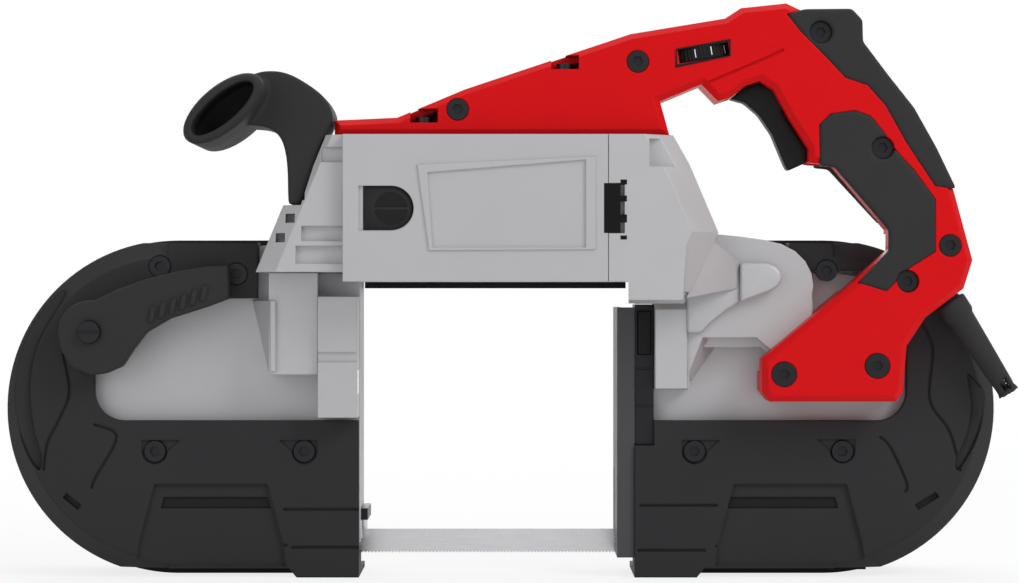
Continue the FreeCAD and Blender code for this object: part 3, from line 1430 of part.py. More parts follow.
def make_handle_shells():
    near = new_body("handle_near_shell")
    outline = on_handle(HANDLE_SHARES)
    face = pad(near, [outline], s.handle_near, s.handle_split)
    chamfer(near, face, s.shell_bevel,
            lambda edge, middle: abs(middle.y - s.handle_near.value) < s.press_gap.value)
    pocket(near, [on_handle(HANDLE_HOLLOW_SHARES)], s.handle_near + s.shell_wall * 2, s.handle_split)
    pocket(near, [trigger_points(TRIGGER_ROOM_SHARES)], trigger_near - s.seat_gap, s.handle_split)
    room = s.dial_radius + s.seat_gap
    slot_height = s.dial_width + s.seat_gap * 2
    pocket(near, [tilted_slot(s.dial_window, slot_height)], s.handle_near, s.handle_split)
    pocket(near, [tilted_slot(room * 2, slot_height)], s.handle_near + s.shell_wall, s.handle_split)
    for shares in (GRIP_BACK_SHARES, GRIP_PALM_SHARES):
        pocket(near, [on_handle(shares)], s.handle_near, s.handle_near + s.grip_inlay)
    plain = on_handle(HANDLE_SCREW_SHARES)
    gripped = on_handle(GRIP_BACK_SCREW_SHARES + GRIP_PALM_SCREW_SHARES)
    spots = plain + gripped
    bolts = on_handle(FOOT_BOLT_SHARES)
    seat = s.handle_near + s.screw_recess
    pocket(near, [(x, z, s.screw_head_radius + s.seat_gap) for x, z in plain], s.handle_near, seat)
    pocket(near, [(x, z, s.bolt_head_radius + s.seat_gap) for x, z in bolts], s.handle_near, seat)
    pocket(near, [(x, z, s.screw_head_radius + s.seat_gap) for x, z in gripped],
           s.handle_near, s.handle_near + s.grip_inlay)
    screw_holes(near, spots + bolts, s.handle_near, s.handle_split)
    for x, z in on_handle(MOUNT_POCKET_SHARES):
        half = s.mount_screw_recess
        pocket(near, [rectangle(x - half, z, x + half, z + half)], s.handle_near,
               s.handle_near + s.shell_wall * 3)
        strip_hole = (x, s.handle_near + s.mount_screw_recess, s.screw_shank_radius + s.press_gap)
        pocket(near, [strip_hole], s.motor_top - s.overrun, z, "XY_Plane")
        pocket(parts["motor_housing"], [strip_hole], s.motor_top - s.screw_head_radius - s.overrun,
               s.motor_top, "XY_Plane")
    pocket(near, [sleeve_slot()], s.sleeve_depth - s.sleeve_root_radius - s.press_gap,
           s.handle_split)
    far = new_body("handle_far_shell")
    face = pad(far, [outline], s.handle_split, handle_far)
    chamfer(far, face, s.shell_bevel,
            lambda edge, middle: abs(middle.y - handle_far.value) < s.press_gap.value)
    hollow_far = handle_far - s.shell_wall
    pocket(far, [on_handle(HANDLE_HOLLOW_SHARES)], s.handle_split, hollow_far)
    pocket(far, [trigger_points(TRIGGER_ROOM_SHARES)], s.handle_split, trigger_far + s.seat_gap)
    pocket(far, [tilted_slot(room * 2, slot_height)], s.handle_split, dial_y + room)
    pocket(far, [(s.drum_x, s.drum_height, s.drum_radius + s.seat_gap)], s.handle_split, handle_far)
    reach = handle_left + s.handle_length + s.overrun
    low = s.window_bottom
    window_x = drive_x + s.window_reach - s.overrun
    pocket(far, [[(window_x, low), (reach, low), (reach, s.handle_relief_top),
                  (s.handle_relief_left, s.handle_relief_top),
                  (s.handle_relief_left, s.handle_relief_base), (window_x, s.handle_relief_base)]],
           s.bumper_near - s.seat_gap, handle_far)
    for shares in (GRIP_BACK_SHARES, GRIP_PALM_FAR_SHARES):
        pocket(far, [on_handle(shares)], handle_far - s.grip_inlay, handle_far)
    screw_holes(far, spots, s.handle_split, s.handle_near + s.screw_recess + s.handle_screw_length)
    screw_holes(far, bolts, s.handle_split, handle_far)
    screw_holes(parts["frame_casting"], bolts, s.deck_near, deck_far)
    pocket(far, [sleeve_slot()], s.handle_split, s.handle_split + s.sleeve_root_radius * SLOT_SHARE)
    make_grip("grip_near", (GRIP_BACK_SHARES, GRIP_PALM_SHARES), s.handle_near - s.grip_rise,
              s.handle_near + s.grip_inlay, (GRIP_BACK_SCREW_SHARES, GRIP_PALM_SCREW_SHARES))
    make_grip("grip_far", (GRIP_BACK_SHARES, GRIP_PALM_FAR_SHARES), handle_far - s.grip_inlay,
              handle_far + s.grip_rise, ((), ()))


def make_grip(name, outlines, near, far, screw_shares):
    strips = []
    for word, shares, screws in zip(("back", "palm"), outlines, screw_shares):
        strip = new_body(f"{name}_{word}", kept=False)
        pad(strip, [on_handle(shares)], near, far)
        if screws:
            pocket(strip, [(x, z, s.screw_head_radius + s.seat_gap) for x, z in on_handle(screws)],
                   near, far)
        strips.append(strip)
    group(name, strips)


def make_handle_fittings():
    screws = []
    seat = s.handle_near + s.screw_recess
    for bearing, shares in (
            (seat, HANDLE_SCREW_SHARES),
            (s.handle_near + s.grip_inlay, GRIP_BACK_SCREW_SHARES + GRIP_PALM_SCREW_SHARES)):
        for x, z in on_handle(shares):
            screws.append(screw(f"handle_screw_{len(screws) + 1}", x, bearing - s.screw_head_height, z,
                                s.screw_head_radius, seat + s.handle_screw_length - bearing))
    group("handle_screws", screws)
    mounts = []
    for x, z in on_handle(FOOT_BOLT_SHARES):
        mounts.append(screw(f"foot_bolt_{len(mounts) + 1}", x, seat - s.screw_head_height, z,
                            s.bolt_head_radius, deck_far - seat))
    for number, (x, z) in enumerate(on_handle(MOUNT_POCKET_SHARES), start=1):
        y = s.handle_near + s.mount_screw_recess
        end = s.motor_top - s.screw_head_radius
        head = cylinder(f"strip_screw_head_{number}", s.screw_head_radius - s.overrun / 2,
                        s.screw_head_height, x, y, z, ALONG_Z)
        shank = cylinder(f"strip_screw_shank_{number}", s.screw_shank_radius,
                         z + s.screw_head_height - end, x, y, end, ALONG_Z)
        mounts.append(fuse(f"strip_screw_{number}", [head, shank]))
    group("handle_mount_screws", mounts)
    gap = s.seat_gap
    keep(box("switch_module", (switch_x, s.handle_near + s.shell_wall * 2 + gap, switch_z + gap),
             (switch_x + s.switch_length, handle_far - s.shell_wall - gap,
              switch_z + s.switch_height)), "switch_module")
    trigger = new_body("trigger")
    pad(trigger, [trigger_points(TRIGGER_SHARES)], trigger_near, trigger_far)
    push = FreeCAD.Vector(TRIGGER_PUSH_SHARES[0], 0, TRIGGER_PUSH_SHARES[1])
    stem = trigger_points([TRIGGER_STEM_SHARES])[0]
    lift = push * (s.trigger_spring_wire.value)
    make_spring("trigger_spring", s.trigger_spring_radius, s.trigger_spring_wire,
                s.trigger_spring_pitch, TRIGGER_SPRING_TURNS,
                FreeCAD.Vector(stem[0].value, s.handle_split.value, stem[1].value) + lift, push)
    tilt = math.radians(DIAL_TILT)
    axis = FreeCAD.Vector(-math.sin(tilt), 0, math.cos(tilt))
    half = s.dial_width / 2
    turned("speed_dial", [(ZERO, ZERO), (s.dial_radius, ZERO), (s.dial_radius, s.dial_width),
                          (ZERO, s.dial_width)],
           dial_x + half * math.sin(tilt), dial_y, dial_z - half * math.cos(tilt),
           FreeCAD.Rotation(Z_AXIS, axis))


make_handle_shells()
make_handle_fittings()


# Front handle: a hollow oval bar along Y with a neck that hooks on the end cap

def make_front_handle():
    tilt = math.radians(BAR_TILT)
    major = FreeCAD.Vector(math.cos(tilt), 0, math.sin(tilt))
    minor = FreeCAD.Vector(-math.sin(tilt), 0, math.cos(tilt))

    def oval(long_half, short_half, y, depth):
        centre = FreeCAD.Vector(-s.bar_x.value, y.value, s.bar_height.value)
        curve = Part.Ellipse(centre + major * long_half.value, centre + minor * short_half.value,
                             centre)
        face = Part.Face(Part.Wire(curve.toShape()))
        return face.extrude(FreeCAD.Vector(0, depth.value, 0))

    def rounded(solid):
        """Soften the two end edges of a plain extrusion along Y."""
        ends = [e for e in solid.Edges if abs(e.tangentAt(e.FirstParameter).y) < 1e-6]
        return solid.makeFillet(s.bar_edge.value, ends)

    bar = rounded(oval(s.bar_major, s.bar_minor, s.bar_near, s.bar_far - s.bar_near))
    hollow = oval(s.bar_major - s.bar_wall, s.bar_minor - s.bar_wall, s.bar_near - s.overrun,
                  s.bar_hollow + s.overrun)
    rows = []
    for shares in (NECK_TOP_SHARES, NECK_BACK_SHARES, NECK_INNER_SHARES):
        points = by_shares(shares, -s.front_handle_left, s.front_handle_base,
                           s.front_handle_width, s.front_handle_height)
        rows.append([FreeCAD.Vector(x.value, s.front_handle_near.value, z.value)
                     for x, z in points])
    top, back, inner = rows
    edges = []
    for row in (top, inner):
        curve = Part.BSplineCurve()
        curve.interpolate(row)
        edges.append(curve.toShape())
    edges += [Part.makePolygon(back).Edges[i] for i in range(len(back) - 1)]
    edges.append(Part.makeLine(inner[-1], top[0]))
    outline = Part.Wire(Part.__sortEdges__(edges))
    neck = Part.Face(outline).extrude(
        FreeCAD.Vector(0, (s.front_handle_far - s.front_handle_near).value, 0))
    handle = doc.addObject("Part::Feature", "front_handle")
    handle.Shape = bar.fuse(neck).cut(hollow).removeSplitter()
    keep(handle, "front_handle")


make_front_handle()


# Blade guides, work shoe and blade channel

def make_guides():
    spread = s.blade_thickness / 2 + s.roller_gap + s.roller_radius
    pin_low = guide_low - s.seat_gap - s.roller_height
    for word, x, side in (("front", -s.guide_left_x, -1), ("rear", s.guide_right_x, 1)):
        body = new_body(f"{word}_guide_bracket")
        inner = x - s.guide_length / 2 * side
        outer = x + (s.guide_length / 2 + s.guide_tail) * side
        left, right = (outer, inner) if side < 0 else (inner, outer)
        pad(body, [rectangle(left, deck_far, right, s.guide_far)], guide_low, guide_top, "XY_Plane")
        pins = [(x, s.blade_depth + spread * hand) for hand in (-1, 1)]
        pad(body, [(*pin, s.roller_pin_radius) for pin in pins], pin_low, guide_low, "XY_Plane")
        for hand, pin in zip(("near", "far"), pins):
            name = f"{word}_roller_{hand}"
            keep(ring(name, s.roller_radius, s.roller_pin_radius + s.run_gap, s.roller_height, *pin,
                      pin_low, ALONG_Z), name)


def make_shoe():
    right = s.shoe_left + s.shoe_width
    shoe = new_body("work_shoe")
    top = s.shoe_base + s.shoe_height
    pad(shoe, [rectangle(s.shoe_left, s.shoe_base, s.shoe_left + s.shoe_plate, top)],
        s.shoe_near, s.shoe_far)
    pad(shoe, [rectangle(s.shoe_left, s.shoe_base, right, top)], s.shoe_near,
        s.shoe_near + s.shoe_web)
    slot = s.shoe_slot_width / 2
    pocket(shoe, [rectangle(s.blade_depth - slot, s.shoe_base - s.overrun, s.blade_depth + slot,
                            s.shoe_base + s.shoe_slot_height)],
           s.shoe_left - s.overrun, s.shoe_left + s.shoe_plate + s.overrun, "YZ_Plane")
    bracket = new_body("shoe_bracket")
    left = right + s.seat_gap
    near = s.shoe_near + s.overrun
    pad(bracket, [rectangle(left, s.bracket_base, s.throat_right, s.bracket_base + s.bracket_height)],
        near, near + s.bracket_depth)
    gap = s.seat_gap
    middle = (left + s.throat_right) / 2
    button_left = middle - s.button_width / 2
    button_right = middle + s.button_width / 2
    button_top = s.button_base + s.button_height
    face = near - s.button_rise
    pocket(bracket, [rectangle(button_left - gap, s.button_base - gap, button_right + gap,
                               button_top + gap)], near, face + s.button_depth + s.button_rise)
    button = new_body("shoe_button")
    pad(button, [rectangle(button_left, s.button_base, button_right, button_top)], face,
        face + s.button_depth)


def make_channel():
    body = new_body("blade_channel")
    left = -s.throat_left + s.seat_gap
    right = s.rear_bumper_left - s.seat_gap - s.overrun
    inside = s.channel_far - s.channel_wall
    pad(body, [[
        (backbone_far, s.channel_top), (backbone_far, s.channel_top - s.channel_wall),
        (inside, s.channel_top - s.channel_wall), (inside, s.channel_lip),
        (s.channel_far, s.channel_lip), (s.channel_far, s.channel_top),
    ]], left, right, "YZ_Plane")


make_guides()
make_shoe()
make_channel()


# Lamp and cord sleeve

def make_lamp():
    left = -s.lamp_left
    right = left + s.lamp_width
    housing = new_body("lamp_housing")
    top = s.lamp_base + s.lamp_height
    pad(housing, [rectangle(left, s.lamp_base, right, top)], s.lamp_near, s.deck_near)
    middle = (s.lamp_near + s.deck_near) / 2
    half = s.lens_width / 2
    lens_low = s.lamp_base + s.lens_length
    lens_box = (lens_low, lens_low + s.lens_length)
    pocket(housing, [rectangle(middle - half, lens_box[0], middle + half, lens_box[1])],
           right - s.lens_height, right, "YZ_Plane")
    band = s.lamp_base + s.lamp_height / 2
    pocket(housing, [rectangle(left, band - s.lens_height, right, band + s.lens_height)],
           s.lamp_near, s.lamp_near + s.louvre_depth / 2)
    keep(box("lamp_lens", (right - s.lens_height, middle - half, lens_box[0]),
             (right, middle + half, lens_box[1])), "lamp_lens")


def make_sleeve():
    direction = FreeCAD.Rotation(Y_AXIS, SLEEVE_TILT)
    x, z = on_handle([SLEEVE_SHARE])[0]
    lip = s.sleeve_length - s.sleeve_lip_length
    turned("cord_sleeve", [
        (s.sleeve_bore, -s.sleeve_root), (s.sleeve_root_radius, -s.sleeve_root),
        (s.sleeve_root_radius, ZERO), (s.sleeve_collar, ZERO), (s.sleeve_collar, s.sleeve_root),
        (s.sleeve_radius, s.sleeve_root), (s.sleeve_tip, lip), (s.sleeve_lip, s.sleeve_length),
        (s.sleeve_bore, s.sleeve_length),
    ], x, s.sleeve_depth, z, direction)


make_lamp()
make_sleeve()


# Checks and export

def finish():
    doc.recompute()
    for obj in doc.Objects:
        if "Invalid" in obj.State or "Error" in obj.State:
            raise RuntimeError(f"{obj.Label} is not in order: {obj.State}")
    for name, obj in parts.items():
        if obj.Shape.isNull() or not obj.Shape.isValid() or not obj.Shape.Solids:
            raise RuntimeError(f"{name} has no valid solid")
    os.makedirs("parts", exist_ok=True)
    for name, obj in parts.items():
        obj.Shape.exportStep(f"parts/{name}.step")
    print(f"{len(parts)} sub-parts written")


finish()
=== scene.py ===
import json
import math

import bmesh
import bpy
from mathutils import Matrix, Vector


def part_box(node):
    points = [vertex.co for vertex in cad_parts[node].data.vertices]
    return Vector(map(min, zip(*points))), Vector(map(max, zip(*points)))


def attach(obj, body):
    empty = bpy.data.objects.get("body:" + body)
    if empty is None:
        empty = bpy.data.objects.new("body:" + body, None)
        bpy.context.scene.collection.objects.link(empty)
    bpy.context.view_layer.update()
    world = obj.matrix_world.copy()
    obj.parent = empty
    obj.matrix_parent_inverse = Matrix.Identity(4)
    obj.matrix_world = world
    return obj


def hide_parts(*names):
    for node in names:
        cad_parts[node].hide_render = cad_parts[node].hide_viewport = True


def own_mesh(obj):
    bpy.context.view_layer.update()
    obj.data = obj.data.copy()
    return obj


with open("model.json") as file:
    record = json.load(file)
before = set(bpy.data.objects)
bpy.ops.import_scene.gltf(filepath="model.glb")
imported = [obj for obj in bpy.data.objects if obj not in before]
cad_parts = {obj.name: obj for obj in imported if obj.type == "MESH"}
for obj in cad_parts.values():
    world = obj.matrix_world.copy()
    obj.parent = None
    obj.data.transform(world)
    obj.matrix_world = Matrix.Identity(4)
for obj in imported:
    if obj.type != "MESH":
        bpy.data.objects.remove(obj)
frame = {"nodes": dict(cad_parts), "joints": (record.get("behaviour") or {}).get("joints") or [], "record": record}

bl_info = {
    "name": "Portable band saw",
    "version": (1, 0, 0),
    "blender": (4, 2, 0),
    "location": "View3D > Sidebar > Band saw",
    "description": "Dresses the packed band saw with softened edges, fine pieces and materials",
    "category": "Add Mesh",
}

NODES = frame["nodes"]
SLOTS = {part["node"]: part["material_slot"] for part in frame["record"]["subparts"]}
MM = 0.001

# Points closer than the weld's reach are one. A cut starts clear ahead of the face that it cuts, and a
# piece has its root in what carries it.
WELD_REACH = 0.005 * MM
CLEAR = 1 * MM
ROOT = 1 * MM

# Picture that the camera is matched to: its width and the pixel on the camera's axis, and the camera's
# sensor width and lens in millimetres
PICTURE_WIDTH = 1019
PICTURE_MIDDLE = (510, 291)
SENSOR_WIDTH = 36.0
CAMERA_LENS = 99.9

# Lights: place in metres, power in watts and size in metres. All aim at one point.
LIGHTS = {
    "key": ((1.2, -1.0, 1.3), 16.0, 0.8),
    "fill": ((-1.1, -1.4, 0.8), 6.0, 1.2),
    "top": ((0.1, 0.2, 1.7), 8.0, 1.2),
    "rear": ((-0.3, 1.5, 0.9), 9.0, 1.4)}
LIGHT_AIM = (0.0, 0.0, 0.13)

# Light of the surroundings on the saw, and the floor's share of plain white, which is least at the saw,
# where its shadow lies, and grows with each metre away from it
AMBIENT = 0.25
FLOOR_WHITE_LEAST = 0.8
FLOOR_WHITE_START = 0.72
FLOOR_WHITE_GROWTH = 0.2
FLOOR_ROUGHNESS = 0.9

# Shading of edges and smoothing of rubber, with the passes that each rubber node gets
CRISP_ANGLE = math.radians(28)
ROUND_SEGMENTS = 3
LIT_EDGE_SAMPLES = 6
SMOOTH_FACTOR = 0.5
SMOOTH_PASSES = {
    "grip_near": 6, "grip_far": 6, "trigger": 8, "cord_sleeve": 2, "front_handle": 10, "tension_lever": 6}

# Noise of the finishes: waves per metre and octaves
MOTTLE_NOISE = (14.0, 4.0)
HANDLING_NOISE = (55.0, 5.0)
TOOL_NOISE = (900.0, 2.0)
SMUDGE_NOISE = (40.0, 4.0)
RIPPLE_NOISE = (220.0, 1.0)
GRAIN_OCTAVES = 2.0

# Shares of these noises in shade, gloss and relief, strengths of the relief, darkest and lightest tints,
# and limits of the roughness
MOTTLE_SHARE = 0.6
GRAIN_SHARE = 0.8
WORN_GLOSS = 0.22
GRAIN_GLOSS = 0.06
MARK_GLOSS = 0.18
SMUDGE_GLOSS = 0.14
RIPPLE_GLOSS = 0.1
GRAIN_STRENGTH = 0.35
MARK_STRENGTH = 0.25
RIPPLE_STRENGTH = 0.2
METAL_TINTS = (0.82, 1.12)
LENS_TINTS = (0.9, 1.05)
MOULDED_LIMITS = (0.08, 0.95)
METAL_LIMITS = (0.06, 0.9)
MARK_DEPTH = 0.08 * MM
COAT_ROUGHNESS = 0.25

# Steps and points of curved outlines
RIB_STEPS = 6
CRESCENT_STEPS = 4
PLATE_POINTS = 16
EAR_POINTS = 24

# Bumper relief in picture points. An ear is its middle and the side that its tip points to, and a
# rectangle is its left, top, right and bottom, here and below.
FRONT_BUMPER = {
    "crescent": [
        (64, 289), (46, 305), (24, 341), (14.5, 386), (17, 421), (27, 453), (39, 470), (42, 456),
        (35, 431), (31, 402), (32, 370), (41, 338), (62, 301)],
    "ribs": [
        [(63, 327), (64, 352), (70, 391), (59, 420), (48, 442), (44, 470)],
        [(94, 424), (117, 436), (96, 477), (92, 488)]],
    "creases": [[(284, 509), (359, 509)], [(292, 547), (359, 547)], [(148, 545), (288, 545)]],
    "slot": [(65, 495), (80, 507)],
    "band": [(164, 497), (268, 497), (271, 508), (161, 508)],
    "ears": [(155, 451, 1), (305, 451, -1)],
    "sill": (150, 561, 299, 568.6)}
REAR_BUMPER = {
    "crescent": [
        (968, 374), (978, 382), (986, 394), (983, 420), (975, 444), (960, 469), (956, 461),
        (967, 434), (972, 404)],
    "ribs": [
        [(922, 322), (933, 348), (930, 399), (950, 431), (961, 471)],
        [(880, 436), (891, 447), (907, 482), (905, 492)]],
    "creases": [[(640, 505), (718, 505)], [(638, 550), (706, 550)], [(716, 546), (852, 546)]],
    "slot": [(917, 507), (938, 494)],
    "band": [(731, 497), (836, 497), (839, 508), (728, 508)],
    "ears": [(695, 451, 1), (843, 450, -1)],
    "sill": (699, 561, 866, 568.6)}
# Dark inlays on the floors of the band and the crescent, which paint the shade of these hollows: how far each
# stands above its floor and how far it sinks into it
SHADE_INLAY_PROUD = 0.2 * MM
SHADE_INLAY_ROOT = 0.3 * MM
# Half width, top and tip of an ear, as shares of its radius
EAR_NARROW = 0.8
EAR_TOP = 0.7
EAR_TIP = 1.6

# Castings in picture points, with the depths of their forms
COLUMN_SLOPE_FRONT = [(276, 300), (271, 300), (271, 371), (276, 371)]
COLUMN_SLOPE_BACK = [(276, 300), (253, 300), (269.5, 373), (276, 373)]
COLUMN_SETBACK = 2 * MM
TOP_LINK = (256, 245, 276, 276)
TOP_LINK_DEPTH = 4 * MM

# Motor and end cap in picture points. Brush plate and vent have their depths from the gear case's front,
# and the slots from the cap's own.
BRUSH_PLATE = (363.4, 184.3, 391.5, 229.5)
BRUSH_PLATE_NEAR = 1.25 * MM
BRUSH_PLATE_FAR = 1.6 * MM
BRUSH_PLATE_SOFT = 0.1 * MM
VENT = (604.5, 182.5, 621.0, 232.5)
VENT_PROUD = 0.05 * MM
VENT_DEPTH = 4 * MM
VENT_NOTCHES = [(179, 184), (195, 201), (214, 222), (235, 239)]
VENT_NOTCH_END = 627.5
VENT_NOTCH_PROUD = 0.06 * MM
VENT_NOTCH_DEPTH = 3 * MM
CAP_SLOTS = [(300, 195), (290, 217.5), (280, 237)]
CAP_SLOT_HALF = (5.0, 4.5)
CAP_SLOT_DEPTH = 14 * MM

# Gear case in picture points. Its drum stands proud of the deck and its boss of the drum, and the other
# depths are taken from the face that a form lies on.
DRUM_PROUD = 15.7 * MM
BOSS_PROUD = 8.0 * MM
FACET_DEPTH = 13 * MM
CASE_RECESS = [(650, 138), (720, 138), (720, 166), (650, 166)]
CASE_RECESS_DEPTH = 6 * MM
CASE_CORNER_FRONT = [(664, 227), (688.5, 227), (683.5, 296), (664, 296)]
CASE_CORNER_BACK = [(664, 227), (714, 231), (685, 296.5), (664, 296.5)]
CASE_SKIRT = (634, 279, 662, 300)
CASE_SKIRT_DEPTH = 4 * MM
CASE_APRON_FRONT = (629, 270, 683.5, 299.5)
CASE_APRON_BACK = (629, 270, 685, 303)
BLOCK_FACE_FRONT = (656, 309, 687.5, 388)
BLOCK_FACE_BACK = (655, 301, 689, 389)
BLOCK_PROUD = 3 * MM
BLOCK_ROOT = 0.5 * MM
BLOCK_SLOPE_FRONT = [(686, 305), (689.5, 305), (704, 335), (703, 337), (689.5, 372), (686, 372)]
BLOCK_SLOPE_BACK = [(686, 305), (692, 305), (714, 345), (715, 347), (692, 380), (686, 380)]
LEDGE_STEP = [(690, 337), (757, 337), (771, 349), (850, 349), (850, 425), (690, 425)]
LEDGE_STEP_DEPTH = 6.0 * MM
LEDGE_CUT = [(690, 347), (762, 347), (774, 356), (850, 356), (850, 425), (690, 425)]
DRUM_SHOULDER = [
    (706, 234), (715, 233.5), (740, 236), (765, 239.5), (782, 243.5), (796, 251), (806, 261),
    (812, 273), (814, 286), (811, 300), (790, 320), (700, 320)]
BOSS_CUT = (722, 250, 792, 296)
BOSS_FACE = [
    (741, 262.5), (768, 262.5), (776.5, 265.5), (782, 272), (783, 279), (779, 286), (770, 291),
    (748, 299), (741, 302)]
BOSS_SOFT = 3.0 * MM
SADDLE = [(742, 284), (742, 301.5), (728, 310), (712, 323), (703, 333), (688, 333), (688, 290)]
SADDLE_SETBACK = 3 * MM
SADDLE_SOFT = 2.0 * MM
BUTTRESS_HIGH = [(714, 241), (686, 298)]
BUTTRESS_LOW = [(741, 288), (739, 260)]
BUTTRESS_SETBACK = 4 * MM
BUTTRESS_SOFT = 0.6 * MM

# Handle and speed dial: the shell's crease and the dial's window in picture points, the spread of the
# window's bezel along X and Z, and the dial's ticks, whose height is a share of the dial's
SHELL_CREASE = [(704, 84), (768, 57), (784, 49)]
DIAL_WINDOW = [(677.5, 49.4), (729.6, 41.4), (729.6, 54.8), (677.5, 64)]
BEZEL_SPREAD = (1.06, 1.28)
BEZEL_PROUD = 0.3 * MM
BEZEL_ROOT = 1.5 * MM
DIAL_TILT = math.radians(9.5)
DIAL_RIDGES = 48
POINTS_PER_RIDGE = 4
DIAL_TICKS = 12
TICK_HALF = 0.5 * MM
TICK_TALL = 0.6
TICK_ROOT = 0.6 * MM
TICK_INSET = 0.02 * MM

# Lever ribs in picture points: feet of the first and the last, and the way from a foot to its head
LEVER_RIBS = 6
LEVER_RIB_FIRST = (151, 322)
LEVER_RIB_LAST = (203, 301)
LEVER_RIB_RISE = (3, -16)
LEVER_RIB_ROOT = 1.5 * MM
LEVER_RIB_SOFT = 0.7 * MM

# Shoe bracket in picture points, and the depth of the seat under it
BRACKET_STEPS = [[(630, 368), (660, 368)], [(630, 405), (660, 405)]]
BRACKET_SEAT = (634.9, 442, 656, 448)
BRACKET_SEAT_NEAR = 1.5 * MM
BRACKET_SEAT_FAR = 4 * MM


# Sizes and colours

def length(name, description, default):
    return bpy.props.FloatProperty(
        name=name, description=description, default=default, unit="LENGTH", precision=5)


def colour(name, description, default):
    return bpy.props.FloatVectorProperty(
        name=name, description=description, default=default, subtype="COLOR", size=3,
        min=0.0, max=1.0)


class BandSawSizes(bpy.types.PropertyGroup):
    """Sizes of the fine pieces and of the softened edges."""

    casting_edge: length("Casting edge", "Softening of the cast metal edges", 0.0008)
    plastic_edge: length("Plastic edge", "Softening of the moulded plastic edges", 0.0012)
    rubber_edge: length("Rubber edge", "Softening of the rubber edges", 0.0016)
    metal_edge: length("Metal edge", "Softening of small metal edges", 0.0003)
    grain: length("Remeshing grain", "Mesh size of the rounded rubber pieces", 0.0009)
    tooth_pitch: length("Tooth pitch", "Distance between blade teeth", 0.0018)
    tooth_depth: length("Tooth depth", "Depth of the blade's gullets", 0.0009)
    blade_thickness: length("Blade thickness", "Thickness of the saw band", 0.0005)
    twist_run: length("Twist run", "Length over which the band turns on edge", 0.069)
    rib_width: length("Rib width", "Width of the ribs on the tension lever", 0.0030)
    rib_height: length("Rib height", "Height of the ribs on the tension lever", 0.0012)
    groove_width: length("Groove width", "Width of the fine bumper grooves", 0.0013)
    groove_depth: length("Groove depth", "Depth of the fine bumper grooves", 0.0010)
    crescent_depth: length("Crescent depth", "Depth of the bumpers' crescents", 0.0026)
    slot_width: length("Slot width", "Width of the bumpers' short slots", 0.0032)
    band_depth: length("Band depth", "Depth of the band above the bumpers' feet", 0.0030)
    ear_radius: length("Ear radius", "Half width of the screw ears", 0.0082)
    rim_start: length("Rim start", "Depth at which the bumpers' outer rim starts", 0.022)
    sill_width: length("Sill width", "Width of the sill that closes the bumpers' rim below", 0.0025)
    dial_ridge: length("Dial ridge", "Height of the ridges around the speed dial", 0.0005)
    camera_distance: length("Camera distance", "Distance of the camera from the middle plane", 1.458)
    camera_height: length("Camera height", "Height of the camera above the floor", 0.1473)
    camera_shift: length("Camera shift", "Sideways place of the camera", 0.0006)
    floor_reach: length("Floor reach", "Half width of the floor", 6.0)


class BandSawColours(bpy.types.PropertyGroup):
    """Base colours of the finishes."""

    silver: colour("Silver", "Light grey paint of castings and motor", (0.49, 0.49, 0.505))
    red: colour("Red", "Handle plastic", (0.70, 0.0035, 0.006))
    bumper: colour("Bumper", "Dark grey rubber of the bumpers", (0.030, 0.030, 0.032))
    rubber: colour("Rubber", "Soft black rubber of the grips", (0.032, 0.032, 0.033))
    black: colour("Black", "Black plastic", (0.012, 0.012, 0.012))
    steel: colour("Steel", "Bright steel", (0.58, 0.58, 0.60))
    dark_steel: colour("Dark steel", "Blackened steel", (0.028, 0.028, 0.031))
    aluminium: colour("Aluminium", "Machined wheels", (0.66, 0.67, 0.69))
    shoe: colour("Shoe", "Painted steel of the work shoe", (0.060, 0.061, 0.066))
    brass: colour("Brass", "Brass holders and the worm wheel", (0.70, 0.50, 0.20))
    copper: colour("Copper", "Commutator bars", (0.66, 0.34, 0.17))
    lens: colour("Lens", "Lamp lens", (0.90, 0.92, 0.95))
    floor: colour("Floor", "Floor and surroundings", (1.0, 1.0, 1.0))


# Shader building

class Socket:
    """Output of a shader node. Arithmetic on it adds Math nodes."""

    def __init__(self, paint, output):
        self.paint = paint
        self.output = output

    def _math(self, operation, first, second):
        return self.paint.node(
            "ShaderNodeMath", {"operation": operation}, Value=first, Value_001=second)

    def __add__(self, other):
        return self._math("ADD", self, other)

    __radd__ = __add__

    def __mul__(self, other):
        return self._math("MULTIPLY", self, other)

    __rmul__ = __mul__

    def __sub__(self, other):
        return self._math("SUBTRACT", self, other)

    def __rsub__(self, other):
        return self._math("SUBTRACT", other, self)

    def clamped(self, low, high):
        return self._math("MINIMUM", self._math("MAXIMUM", self, low), high)


def pick(sockets, key):
    """Socket by its identifier, or by its name with _ for each blank."""
    return next(s for s in sockets if key in (s.identifier, s.name.replace(" ", "_")))


